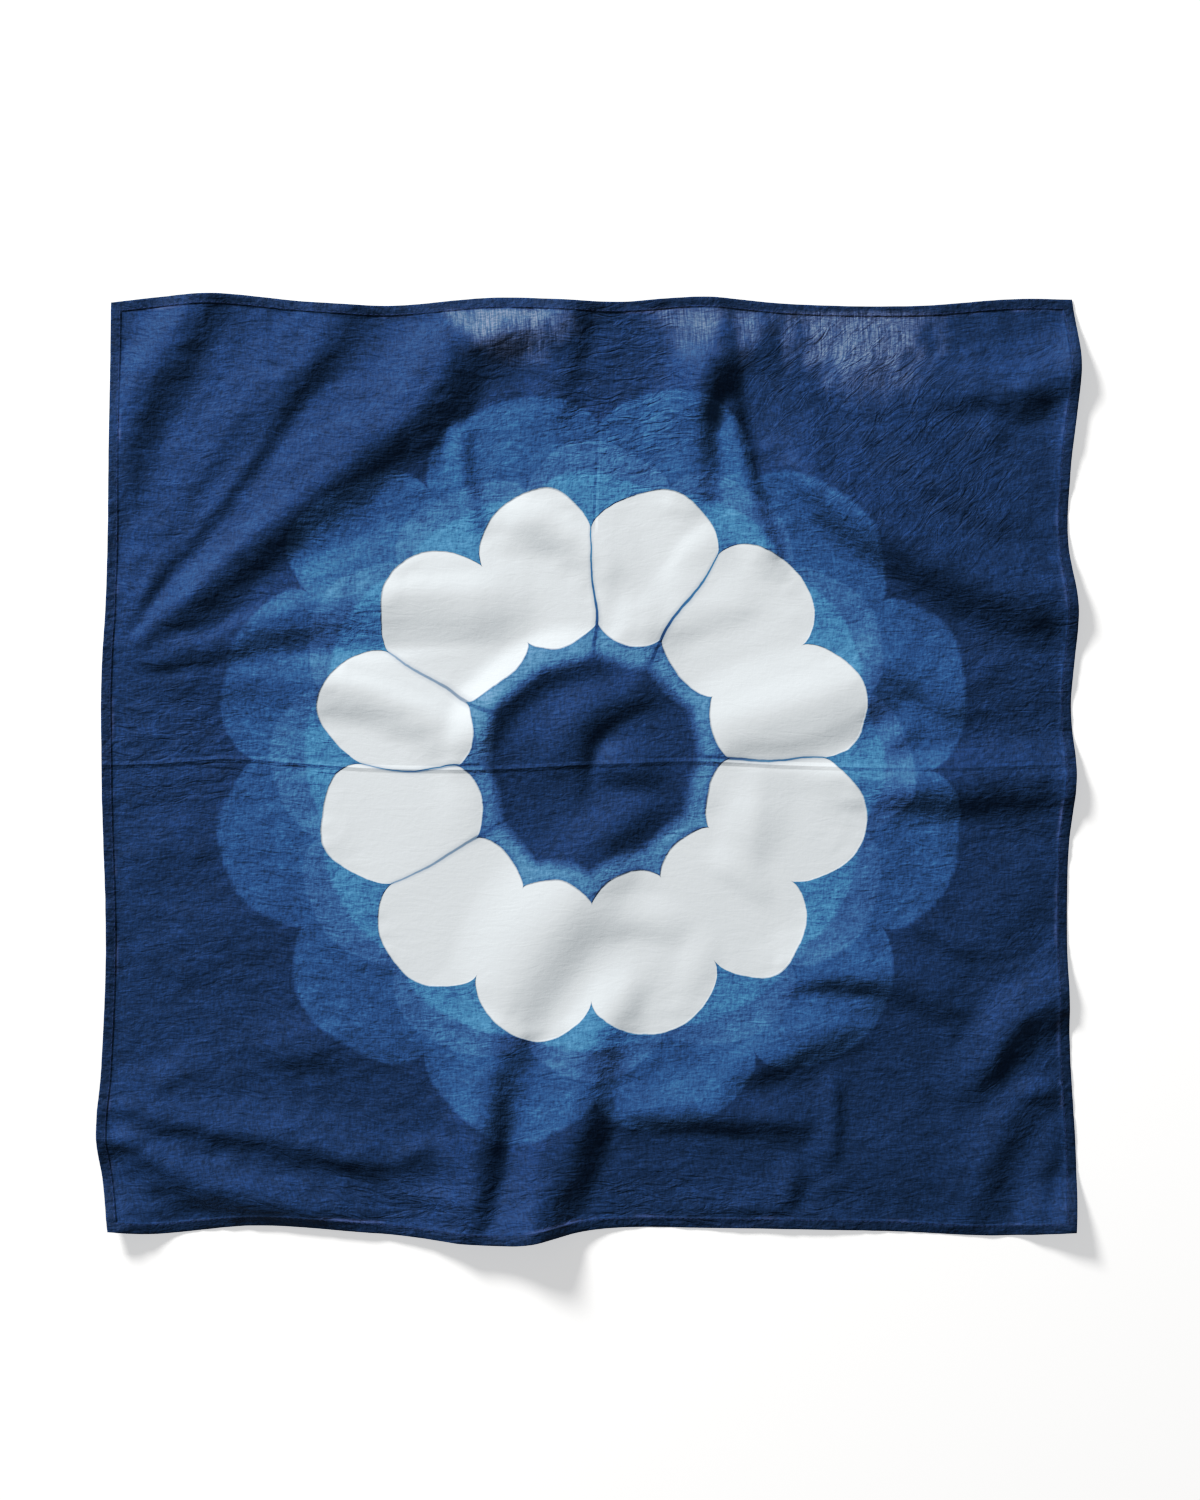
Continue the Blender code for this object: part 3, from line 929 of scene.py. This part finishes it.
def lit_through_strength(x, y):
    """How strongly light showing through the thin weave is painted at each place, from 0 to 1, with ragged
    edges.
    """
    ragged = np.vectorize(wrinkles, excluded={2})(x, y, RAGGED_STREAKS)
    lit_through = np.zeros(x.shape)
    for patch in LIT_THROUGH_PATCHES:
        down = np.clip((patch.top - y) / patch.depth, 0.0, 1.0)
        middle = patch.x + patch.lean * patch.depth * down
        side = np.abs(x - middle) / (patch.half_width * (1 - LIT_THROUGH_NARROWS_BY * down))
        strength = patch.strength * ease((patch.top - y) / LIT_THROUGH_STARTS_OVER)
        strength = strength * ease(LIT_THROUGH_SIDES[0] * (1 - side) + LIT_THROUGH_SIDES[1] * ragged)
        strength = strength * ease((LIT_THROUGH_FOOT[0] + LIT_THROUGH_FOOT[1] * ragged) * (1 - down))
        lit_through = np.maximum(lit_through, strength)
    return lit_through


def wrung_values(x, y):
    """How strongly each place is creased by wringing, and how far its creases slant, both from 0 to 1."""
    strength = np.full(x.shape, WRUNG_ELSEWHERE)
    slant = np.zeros(x.shape)
    for place in WRUNG_PLACES:
        oval = Dimple(place.name, place.x, place.y, place.long, place.wide, place.turn, 1.0)
        inside = ease(WRUNG_FULLNESS * dimple_height(oval, x, y))
        strength = np.maximum(strength, WRUNG_ELSEWHERE + (place.strength - WRUNG_ELSEWHERE) * inside)
        slant = np.maximum(slant, place.slant * inside)
    return strength, slant


def add_values(mesh, name, kind, values):
    """Writes values to the mesh's points under a name that a material reads."""
    attribute = mesh.attributes.new(name, kind, "POINT")
    field = "vector" if kind == "FLOAT_VECTOR" else "value"
    attribute.data.foreach_set(field, np.asarray(values, dtype=np.float32).ravel())


def put_in_scene(name, data):
    """A new object in the scene."""
    item = bpy.data.objects.new(name, data)
    bpy.context.scene.collection.objects.link(item)
    return item


def cloth_mesh(cloth):
    """The cloth's underside, with a quad between each two lines of the mesh."""
    rows, columns = cloth.x.shape
    corners = np.stack([cloth.x - MIDDLE[0], cloth.y - MIDDLE[1], cloth.z], axis=2).reshape(-1, 3) * MM
    index = np.arange(rows * columns).reshape(rows, columns)
    faces = np.stack([index[:-1, :-1], index[:-1, 1:], index[1:, 1:], index[1:, :-1]], axis=2).reshape(-1, 4)
    mesh = bpy.data.meshes.new("dyed_cloth")
    mesh.from_pydata(corners.tolist(), [], faces.tolist())
    mesh.shade_smooth()
    return mesh


def write_values(mesh, cloth, weft, warp):
    """What the cloth's material reads: the place as cut, the way to the edge, the painted light through the
    thin weave, and wringing.
    """
    flat = np.stack([weft, warp, np.zeros(weft.shape)], axis=2) * MM
    strength, slant = wrung_values(cloth.x, cloth.y)
    add_values(mesh, "cut_place", "FLOAT_VECTOR", flat)
    add_values(mesh, "from_edge", "FLOAT", cloth.from_edge * MM)
    add_values(mesh, "lit_through", "FLOAT", lit_through_strength(cloth.x, cloth.y))
    add_values(mesh, "wrung", "FLOAT", strength)
    add_values(mesh, "slant", "FLOAT", slant)


def give_layers(piece, cloth):
    """Thickens the piece upwards, to one layer in the field and three at the turned hem."""
    layers = piece.vertex_groups.new(name="layers")
    from_edge = row_values(HEM_SECTION, "from_edge")
    share = np.interp(cloth.from_edge, from_edge, row_values(HEM_SECTION, "share")).ravel()
    for weight in np.unique(share):
        layers.add(np.flatnonzero(share == weight).tolist(), float(weight), "REPLACE")
    solidify = piece.modifiers.new("layers", "SOLIDIFY")
    solidify.thickness = HEM_LAYERS * CLOTH_THICKNESS * MM
    solidify.offset = 1.0
    solidify.vertex_group = "layers"


def cloth_piece(cloth, weft, warp):
    """The bandana itself."""
    mesh = cloth_mesh(cloth)
    write_values(mesh, cloth, weft, warp)
    piece = put_in_scene("dyed_cloth", mesh)
    give_layers(piece, cloth)
    return piece


def row_on_cloth(cloth, across, up):
    """Places on top of the hem, for distances across and up the cloth."""
    places = []
    for values in (cloth.x - MIDDLE[0], cloth.y - MIDDLE[1], cloth.z):
        j = np.clip(np.searchsorted(cloth.across, across) - 1, 0, len(cloth.across) - 2)
        i = np.clip(np.searchsorted(cloth.up, up) - 1, 0, len(cloth.up) - 2)
        s = (across - cloth.across[j]) / (cloth.across[j + 1] - cloth.across[j])
        t = (up - cloth.up[i]) / (cloth.up[i + 1] - cloth.up[i])
        lower = (1 - s) * values[i, j] + s * values[i, j + 1]
        upper = (1 - s) * values[i + 1, j] + s * values[i + 1, j + 1]
        places.append((1 - t) * lower + t * upper)
    return np.stack(places, axis=1)


def stitch_middles(cloth, start, end):
    """The middles of each stitch's rings, along a hem from one corner of the stitching to the next."""
    run = np.subtract(end, start)
    length = np.hypot(*run)
    for place in np.arange(0.0, length - STITCH_LENGTH, STITCH_LENGTH + STITCH_GAP):
        share = (place + row_values(STITCH_RINGS, "along") * STITCH_LENGTH) / length
        middles = row_on_cloth(cloth, start[0] + share * run[0], start[1] + share * run[1])
        middles[:, 2] += HEM_LAYERS * CLOTH_THICKNESS + row_values(STITCH_RINGS, "rise") * THREAD_THICKNESS
        yield middles


def stitch_corners(middles, start, end):
    """The corners of one stitch, in rings round these middles."""
    run = np.subtract(end, start) / np.hypot(*np.subtract(end, start))
    turn = np.arange(THREAD_SIDES) * 2 * np.pi / THREAD_SIDES
    ring = np.outer(np.cos(turn), (-run[1], run[0], 0.0)) + np.outer(np.sin(turn), (0.0, 0.0, 1.0))
    radius = row_values(STITCH_RINGS, "thick") * THREAD_THICKNESS / 2
    corners = middles[:, None, :] + radius[:, None, None] * ring
    return corners.reshape(-1, 3) * MM


def stitch_faces(first):
    """The faces of one stitch, from the number of its first corner."""
    faces = []
    for ring in range(len(STITCH_RINGS) - 1):
        for side in range(THREAD_SIDES):
            here = first + ring * THREAD_SIDES + side
            beside = first + ring * THREAD_SIDES + (side + 1) % THREAD_SIDES
            faces.append((here, beside, beside + THREAD_SIDES, here + THREAD_SIDES))
    last = first + (len(STITCH_RINGS) - 1) * THREAD_SIDES
    faces.append(tuple(range(first + THREAD_SIDES - 1, first - 1, -1)))
    faces.append(tuple(range(last, last + THREAD_SIDES)))
    return faces


def stitching_piece(cloth):
    """The machine stitches that hold the turned hem, short threads that dip into the cloth at both ends."""
    near = STITCH_FROM_EDGE
    far_across = CLOTH_WIDTH - near
    far_up = CLOTH_LENGTH - near
    turns = [(near, near), (far_across, near), (far_across, far_up), (near, far_up)]
    corners = []
    faces = []
    for start, end in zip(turns, turns[1:] + turns[:1]):
        for middles in stitch_middles(cloth, start, end):
            faces += stitch_faces(len(corners))
            corners += stitch_corners(middles, start, end).tolist()
    mesh = bpy.data.meshes.new("hem_stitching")
    mesh.from_pydata(corners, [], faces)
    mesh.shade_smooth()
    return put_in_scene("hem_stitching", mesh)


def linear(hex_colour):
    """An sRGB hex colour as linear red, green, blue and alpha."""
    parts = [int(hex_colour[i:i + 2], 16) / 255 for i in (1, 3, 5)]
    return tuple(c / 12.92 if c <= 0.04045 else ((c + 0.055) / 1.055) ** 2.4 for c in parts) + (1.0,)


# The cloth's colours, from no dip in the indigo to many
UNDYED = linear("#dce5eb")
PALEST_BLUE = linear("#4f7cab")
PALE_BLUE = linear("#42668e")
MID_BLUE = linear("#3c597f")
STEEL_BLUE = linear("#375a80")
DEEP_BLUE = linear("#2d4b6e")
FULL_INDIGO = linear("#213b5b")
RING_BLUE = linear("#41628c")
PALE_RING_BLUE = linear("#5a80a8")
# Painted light: the paler blue of light showing through the thin weave
LIGHT_THROUGH_WEAVE = linear("#74819f")
# Partly wear and partly painted highlight: the pale line along the hem's turned edge
WORN_AND_LIT_EDGE = linear("#7580a8")
DARK_THREAD = linear("#2b3b66")
PALE_THREAD = linear("#4a5c8c")
PAPER_WHITE = linear("#f7f7f7")
WHITE = linear("#ffffff")


def put(tree, kind, *given, named=None, **settings):
    """Adds a node with its settings. What is given goes into its inputs in order, or by name or number."""
    node = tree.nodes.new("ShaderNode" + kind)
    for setting, value in settings.items():
        setattr(node, setting, value)
    inputs = dict(enumerate(given))
    inputs.update(named or {})
    for key, value in inputs.items():
        if isinstance(value, bpy.types.Node):
            tree.links.new(value.outputs[0], node.inputs[key])
        elif isinstance(value, bpy.types.NodeSocket):
            tree.links.new(value, node.inputs[key])
        elif value is not None:
            node.inputs[key].default_value = value
    return node


def new_material(name):
    """A material with an empty node tree."""
    material = bpy.data.materials.new(name)
    material.use_nodes = True
    material.node_tree.nodes.clear()
    return material, material.node_tree


Wedge = namedtuple("Wedge", "radius angle swing arch late_arch")


def wandered(tree, place):
    """Places measured from the flower's middle, off by uneven folding and by how the dye crept."""
    centre = (DYE_CENTRE[0] * MM, DYE_CENTRE[1] * MM, 0.0)
    dyed = put(tree, "VectorMath", place, centre, operation="SUBTRACT")
    for drift in (FOLDED_UNEVENLY, DYE_CREPT):
        off = put(tree, "TexNoise", place, named={"Scale": drift.per_metre, "Detail": drift.detail})
        off = put(tree, "VectorMath", off.outputs["Color"], (0.5, 0.5, 0.5), operation="SUBTRACT")
        off = put(tree, "VectorMath", off, (drift.reach * MM, drift.reach * MM, 0.0), operation="MULTIPLY")
        dyed = put(tree, "VectorMath", dyed, off, operation="ADD")
    return dyed


def folded_wedge(tree, place):
    """Where each place lay in the folded wedge."""
    dyed = wandered(tree, place)
    radius = put(tree, "VectorMath", dyed, operation="LENGTH").outputs["Value"]
    split = put(tree, "SeparateXYZ", dyed)
    angle = put(tree, "Math", split.outputs["Y"], split.outputs["X"], operation="ARCTAN2")
    half_turns = put(tree, "Math", angle, WEDGES / 2, operation="MULTIPLY")
    swing = put(tree, "Math", half_turns, operation="SINE")
    mid_wedge = put(tree, "Math", swing, operation="ABSOLUTE")
    on_fold = put(tree, "Math", put(tree, "Math", half_turns, operation="COSINE"), operation="ABSOLUTE")
    arch = put(tree, "Math", mid_wedge, ARCH_FULLNESS, operation="POWER")
    late_arch = put(tree, "Math", on_fold, ARCH_FULLNESS, operation="POWER")
    return Wedge(radius, angle, swing, arch, late_arch)


def not_reached(tree, radius, arch, dip):
    """Where a dip's dye hasn't reached: 1 inside its arched edge and 0 past it."""
    reach = put(tree, "Math", arch, dip.rise * MM, dip.base * MM, operation="MULTIPLY_ADD")
    inside = put(tree, "Math", reach, radius, operation="SUBTRACT")
    return put(tree, "MapRange", inside, -dip.blur * MM, dip.blur * MM)


def dye_line(tree, wedge):
    """Dye that ran along the folds that were pressed least, in lines that thin out on their way."""
    from_fold = put(tree, "Math", wedge.swing, wedge.radius, operation="MULTIPLY")
    from_fold = put(tree, "Math", from_fold, 2 / WEDGES, operation="MULTIPLY")
    from_fold = put(tree, "Math", from_fold, operation="ABSOLUTE")
    ran = put(tree, "MapRange", wedge.radius, DYE_LINES.wide_to * MM, DYE_LINES.narrow_from * MM)
    half_width = put(tree, "MapRange", ran, 0.0, 1.0, DYE_LINES.half_wide * MM, DYE_LINES.half_narrow * MM)
    share = put(tree, "Math", from_fold, half_width, operation="DIVIDE")

    # A line is dense by its fold and gone a little past its half width, with a pale bleed to three times that
    line = put(tree, "MapRange", share, 1.25, 0.55)
    bleed = put(tree, "MapRange", share, 3.2, 0.6, 0.0, 0.35)
    line = put(tree, "Math", line, bleed, operation="MAXIMUM")

    # Each fold has its own number. Some three in ten stay tight, and some four in ten leak in full.
    fold_number = put(tree, "Math", wedge.angle, WEDGES / (2 * np.pi), operation="MULTIPLY")
    fold_number = put(tree, "Math", fold_number, operation="ROUND")
    leak = put(tree, "TexWhiteNoise", named={"W": fold_number}, noise_dimensions="1D").outputs["Value"]
    leak = put(tree, "MapRange", leak, 0.3, 0.6)
    line = put(tree, "Math", line, leak, operation="MULTIPLY")
    return line, put(tree, "MixRGB", ran, DEEP_BLUE, PALEST_BLUE)


def lobe_blue(tree, wedge, patchy):
    """The blues outside the undyed ring, in rounds of lobes that are paler the nearer they lie to it."""
    deep = not_reached(tree, wedge.radius, wedge.arch, DEEP_LOBES)
    pale = not_reached(tree, wedge.radius, wedge.late_arch, PALE_LOBES)
    palest = not_reached(tree, wedge.radius, wedge.late_arch, PALEST_LOBES)
    palest = put(tree, "Math", pale, palest, operation="MULTIPLY")
    colour = put(tree, "MixRGB", deep, FULL_INDIGO, put(tree, "MixRGB", patchy, DEEP_BLUE, STEEL_BLUE))
    colour = put(tree, "MixRGB", pale, colour, put(tree, "MixRGB", patchy, MID_BLUE, PALE_BLUE))
    return put(tree, "MixRGB", palest, colour, put(tree, "MixRGB", patchy, PALE_BLUE, PALEST_BLUE))


def disc_blue(tree, wedge, patchy):
    """The blue of the disc inside the undyed ring, darker and even at its rim."""
    inside = not_reached(tree, wedge.radius, wedge.arch, DISC_INSIDE_RIM)
    blue = put(tree, "MixRGB", patchy, RING_BLUE, PALE_RING_BLUE)
    return put(tree, "MixRGB", inside, RING_BLUE, blue)


def dipped_colour(tree, place):
    """The flower's blues from its dark middle out to the field, and where the cloth stayed undyed."""
    wedge = folded_wedge(tree, place)
    petals = not_reached(tree, wedge.radius, wedge.arch, PETALS)
    disc = not_reached(tree, wedge.radius, wedge.arch, DISC)
    middle = not_reached(tree, wedge.radius, wedge.arch, DARK_MIDDLE)

    # The dye took unevenly, in patches some 7 cm wide
    patchy = put(tree, "TexNoise", place, named={"Scale": 14.0, "Detail": 3.0, "Roughness": 0.55})
    patchy = put(tree, "MapRange", patchy, 0.24, 0.76)
    colour = put(tree, "MixRGB", petals, lobe_blue(tree, wedge, patchy), UNDYED)
    colour = put(tree, "MixRGB", disc, colour, disc_blue(tree, wedge, patchy))
    colour = put(tree, "MixRGB", middle, colour, FULL_INDIGO)
    line, line_blue = dye_line(tree, wedge)
    outside_middle = put(tree, "Math", petals, middle, operation="SUBTRACT")
    line = put(tree, "Math", line, outside_middle, operation="MULTIPLY")
    colour = put(tree, "MixRGB", line, colour, line_blue)
    undyed = put(tree, "Math", petals, disc, operation="SUBTRACT", use_clamp=True)
    return colour, undyed


def streaks(tree, place, per_metre, detail, roughness=0.5):
    """Uneven streaks, so many to a metre along the weft and up the warp."""
    stretched = put(tree, "VectorMath", place, per_metre, operation="MULTIPLY")
    return put(tree, "TexNoise", stretched, named={"Scale": 1.0, "Detail": detail, "Roughness": roughness})


def uneven_threads(tree, place):
    """Thick and thin threads of the weft and the warp."""
    weft = streaks(tree, place, WEFT_STREAKS, 2.0, 0.65)
    warp = streaks(tree, place, WARP_STREAKS, 2.0, 0.65)
    return put(tree, "Math", weft, warp, operation="ADD")


def thread_tone(tree, place, threads):
    """How much dye each thread took, with cloudy patches a centimetre wide."""
    tone = put(tree, "MapRange", threads, 0.7, 1.3, 1 - THREAD_CONTRAST, 1 + THREAD_CONTRAST)
    cloudy = put(tree, "TexNoise", place, named={"Scale": 75.0, "Detail": 3.0, "Roughness": 0.6})
    cloudy = put(tree, "MapRange", cloudy, 0.3, 0.7, 1 - CLOUD_CONTRAST, 1 + CLOUD_CONTRAST)
    return put(tree, "Math", tone, cloudy, operation="MULTIPLY")


def with_painted_light_through(tree, place, colour):
    """Painted light: pale warp threads, broken where the weft crosses them, where light shows through the
    thin weave.
    """
    lit_through = put(tree, "Attribute", attribute_name="lit_through").outputs["Fac"]
    warp = put(tree, "MapRange", streaks(tree, place, LIT_THROUGH_WARP, 2.0), 0.36, 0.62, 0.25, 1.0)
    weft = put(tree, "MapRange", streaks(tree, place, LIT_THROUGH_WEFT, 1.0), 0.36, 0.6, 0.5, 1.0)
    lit_through_threads = put(tree, "Math", warp, weft, operation="MULTIPLY")
    lit_through_threads = put(tree, "Math", lit_through_threads, lit_through, operation="MULTIPLY")
    return put(tree, "MixRGB", lit_through_threads, colour, LIGHT_THROUGH_WEAVE)


def within(tree, place, stretch):
    """1 in the full part of the stretch, fading to 0 at both its ends."""
    fades_in = put(tree, "MapRange", place, stretch.starts * MM, stretch.full * MM)
    fades_out = put(tree, "MapRange", place, stretch.ends * MM, stretch.thins * MM)
    return put(tree, "Math", fades_in, fades_out, operation="MULTIPLY")


def with_hem_tones(tree, place, from_edge, in_hem, colour):
    """The hem took more dye in its three layers, and its turned edge is pale here and there, partly from wear
    and partly a painted highlight where the edge catches the light.
    """
    hem_tone = put(tree, "Math", in_hem, -HEM_DARKER, 1.0, operation="MULTIPLY_ADD")
    colour = put(tree, "MixRGB", 1.0, colour, hem_tone, blend_type="MULTIPLY")
    # The pale line along the turned edge, partly wear and partly painted highlight
    worn_and_lit = within(tree, from_edge, WORN_AND_LIT_LINE)
    in_places = put(tree, "TexNoise", place, named={"Scale": 22.0, "Detail": 4.0, "Roughness": 0.65})
    in_places = put(tree, "MapRange", in_places, 0.52, 0.68, 0.0, 0.4)
    worn_and_lit = put(tree, "Math", worn_and_lit, in_places, operation="MULTIPLY")
    return put(tree, "MixRGB", worn_and_lit, colour, WORN_AND_LIT_EDGE)


def wringing_creases(tree, place, turn):
    """Narrow creases some 4 mm apart that run this way, from 0 in their bottoms to 1 between them."""
    turned = put(tree, "VectorRotate", place, named={"Angle": turn}, rotation_type="Z_AXIS")
    along = put(tree, "VectorMath", turned, WRINGING, operation="MULTIPLY")
    wave = put(tree, "TexNoise", along, named={
        "Scale": 1.0,
        "Detail": 3.0,
        "Roughness": 0.55,
        "Distortion": 0.6,
    })
    from_middle = put(tree, "Math", wave, 0.5, operation="SUBTRACT")
    from_middle = put(tree, "Math", from_middle, operation="ABSOLUTE")
    return put(tree, "MapRange", from_middle, 0.0, 0.17)


def wrung_height(tree, place):
    """The height of the creases that wringing left, with crinkles some 4 mm wide between them."""
    strength = put(tree, "Attribute", attribute_name="wrung").outputs["Fac"]
    slant = put(tree, "Attribute", attribute_name="slant").outputs["Fac"]
    level = wringing_creases(tree, place, 0.0)
    slanting = wringing_creases(tree, place, SLANT)
    creases = put(tree, "MixRGB", slant, level, slanting)
    creases = put(tree, "Math", creases, strength, operation="MULTIPLY")
    creases = put(tree, "Math", creases, WRINGING_HEIGHT * MM, operation="MULTIPLY")
    crinkles = put(tree, "TexNoise", place, named={"Scale": 260.0, "Detail": 2.0, "Roughness": 0.6})
    return put(tree, "Math", crinkles, CRINKLE_HEIGHT * MM, creases, operation="MULTIPLY_ADD")


def pressed_line(tree, across, line):
    """The height of one pressed line, from the places across it."""
    off = put(tree, "Math", across, line.place * MM, operation="SUBTRACT")
    off = put(tree, "Math", off, operation="ABSOLUTE")
    return put(tree, "MapRange", off, 0.0, line.half_width * MM, line.height * MM, 0.0)


def pressed_height(tree, place):
    """The lines of the two sharpest folds: a level ridge and, at the top, an upright groove."""
    split = put(tree, "SeparateXYZ", place)
    level = pressed_line(tree, split.outputs["Y"], LEVEL_LINE)
    upright = pressed_line(tree, split.outputs["X"], UPRIGHT_LINE)
    shown = within(tree, split.outputs["Y"], UPRIGHT_STRETCH)
    upright = put(tree, "Math", upright, shown, operation="MULTIPLY")
    return put(tree, "Math", level, upright, operation="ADD")


def cotton_colour(tree, place, from_edge, in_hem, threads):
    """The cloth's colour with all that dyeing and wear did to it, and how far each place is dyed."""
    colour, undyed = dipped_colour(tree, place)
    tone = put(tree, "MixRGB", undyed, thread_tone(tree, place, threads), WHITE)
    colour = put(tree, "MixRGB", 1.0, colour, tone, blend_type="MULTIPLY")
    # Paints the light that shows through the thin weave at the top
    colour = with_painted_light_through(tree, place, colour)
    colour = with_hem_tones(tree, place, from_edge, in_hem, colour)
    return colour, put(tree, "Math", 1.0, undyed, operation="SUBTRACT")


def cotton_bump(tree, place, in_hem, threads, dyed):
    """The weave, the wrung creases, the puckers along the hem and the two pressed lines, as a bump."""
    wrung = wrung_height(tree, place)
    height = put(tree, "Math", threads, THREAD_HEIGHT * MM, wrung, operation="MULTIPLY_ADD")
    kept = put(tree, "MapRange", dyed, 0.0, 1.0, UNDYED_SHARE, 1.0)
    height = put(tree, "Math", height, kept, operation="MULTIPLY")
    pucker = put(tree, "TexNoise", place, named={"Scale": 270.0, "Detail": 2.0})
    pucker = put(tree, "Math", pucker, in_hem, operation="MULTIPLY")
    height = put(tree, "Math", pucker, HEM_PUCKER_HEIGHT * MM, height, operation="MULTIPLY_ADD")
    height = put(tree, "Math", height, pressed_height(tree, place), operation="ADD")
    return put(tree, "Bump", named={"Strength": 1.0, "Distance": 1.0, "Height": height})


def fold_dyed_cotton():
    """Plain-weave cotton, folded into twelve wedges and dipped in indigo at both ends of the wedge. The dips
    leave an undyed ring of petals with crisp edges, paler tones where the dye crept under the folds, and fine
    lines along the folds. The field is uneven in its threads and wrung into small creases, and has a faint
    lustre on slopes that face the light."""
    material, tree = new_material("fold-dyed indigo cotton")
    place = put(tree, "Attribute", attribute_name="cut_place").outputs["Vector"]
    from_edge = put(tree, "Attribute", attribute_name="from_edge").outputs["Fac"]
    in_hem = put(tree, "MapRange", from_edge, HEM_WIDTH * MM, (HEM_WIDTH - HEM_TONE_EDGE) * MM)
    threads = uneven_threads(tree, place)
    colour, dyed = cotton_colour(tree, place, from_edge, in_hem, threads)
    cotton = put(tree, "BsdfPrincipled", named={
        "Base Color": colour,
        "Roughness": 0.66,
        "IOR": 1.47,
        "Specular IOR Level": 0.125,
        "Normal": cotton_bump(tree, place, in_hem, threads, dyed),
    })
    put(tree, "OutputMaterial", cotton)
    return material


def stitching_cotton():
    """Spun cotton sewing thread, dyed along with the cloth, which took the dye unevenly and is paler here and
    there."""
    material, tree = new_material("indigo sewing thread")
    place = put(tree, "TexCoord").outputs["Object"]
    fade = put(tree, "TexNoise", place, named={"Scale": 300.0, "Detail": 2.0})
    colour = put(tree, "MixRGB", fade, DARK_THREAD, PALE_THREAD)
    thread = put(tree, "BsdfPrincipled", named={
        "Base Color": colour,
        "Roughness": 0.8,
        "IOR": 1.47,
        "Specular IOR Level": 0.3,
    })
    put(tree, "OutputMaterial", thread)
    return material


def table_paper():
    """The plain white ground, matt paper bright enough to show as white."""
    material, tree = new_material("white paper")
    paper = put(tree, "BsdfPrincipled", named={
        "Base Color": PAPER_WHITE,
        "Roughness": 0.9,
        "Emission Color": WHITE,
        "Emission Strength": GROUND_GLOW,
    })
    put(tree, "OutputMaterial", paper)
    return material


def lay_ground():
    """A wide level ground under the cloth, which isn't part of it."""
    reach = GROUND_REACH
    corners = [(-reach, -reach, 0), (reach, -reach, 0), (reach, reach, 0), (-reach, reach, 0)]
    mesh = bpy.data.meshes.new("ground")
    mesh.from_pydata(corners, [], [(0, 1, 2, 3)])
    mesh.materials.append(table_paper())
    put_in_scene("ground", mesh)


def set_lights():
    """One soft-edged light from the upper left, near enough to fade to the lower right, in a pale room."""
    lamp = bpy.data.lights.new("window light", "AREA")
    lamp.shape = "DISK"
    lamp.size = LIGHT_WIDTH
    lamp.energy = np.pi * LIGHT_AWAY ** 2 * LIGHT_STRENGTH
    lamp.color = LIGHT_COLOUR
    light = put_in_scene("window light", lamp)
    light.location = Vector(LIGHT_FROM).normalized() * LIGHT_AWAY
    light.rotation_euler = Vector(LIGHT_FROM).to_track_quat("Z", "Y").to_euler()
    world = bpy.data.worlds.new("pale room")
    world.use_nodes = True
    surround = world.node_tree.nodes["Background"]
    surround.inputs["Color"].default_value = ROOM_COLOUR
    surround.inputs["Strength"].default_value = ROOM_STRENGTH
    bpy.context.scene.world = world


def set_camera():
    """Straight above the cloth, framed as in the photo."""
    lens = bpy.data.cameras.new("camera")
    lens.sensor_fit = "VERTICAL"
    lens.sensor_height = SENSOR
    lens.lens = SENSOR * CAMERA_HEIGHT / (PHOTO_HEIGHT * MM_PER_PIXEL)
    camera = put_in_scene("camera", lens)
    camera.location = (PHOTO_CENTRE[0] * MM, PHOTO_CENTRE[1] * MM, CAMERA_HEIGHT * MM)
    bpy.context.scene.camera = camera


def set_tone():
    """Shows the light with the photo's contrast."""
    view = bpy.context.scene.view_settings
    view.view_transform = "Standard"
    view.use_curve_mapping = True
    mapping = view.curve_mapping
    mapping.clip_max_x = TONE_CURVE[-1].light
    curve = mapping.curves[ALL_COLOURS_CURVE]
    for tone in TONE_CURVE[1:-1]:
        curve.points.new(*tone)
    curve.points[-1].location = TONE_CURVE[-1]
    mapping.update()


def dress():
    """The cloth and its stitching in place of the plain solid."""
    cloth = lay_cloth()
    weft, warp = cut_places(cloth)
    sheet = cloth_piece(cloth, weft, warp)
    sheet.data.materials.append(fold_dyed_cotton())
    stitching = stitching_piece(cloth)
    stitching.data.materials.append(stitching_cotton())
    for piece in (sheet, stitching):
        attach(piece, "root")
    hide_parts(CLOTH_NODE)


dress()
lay_ground()
set_lights()
set_camera()
set_tone()
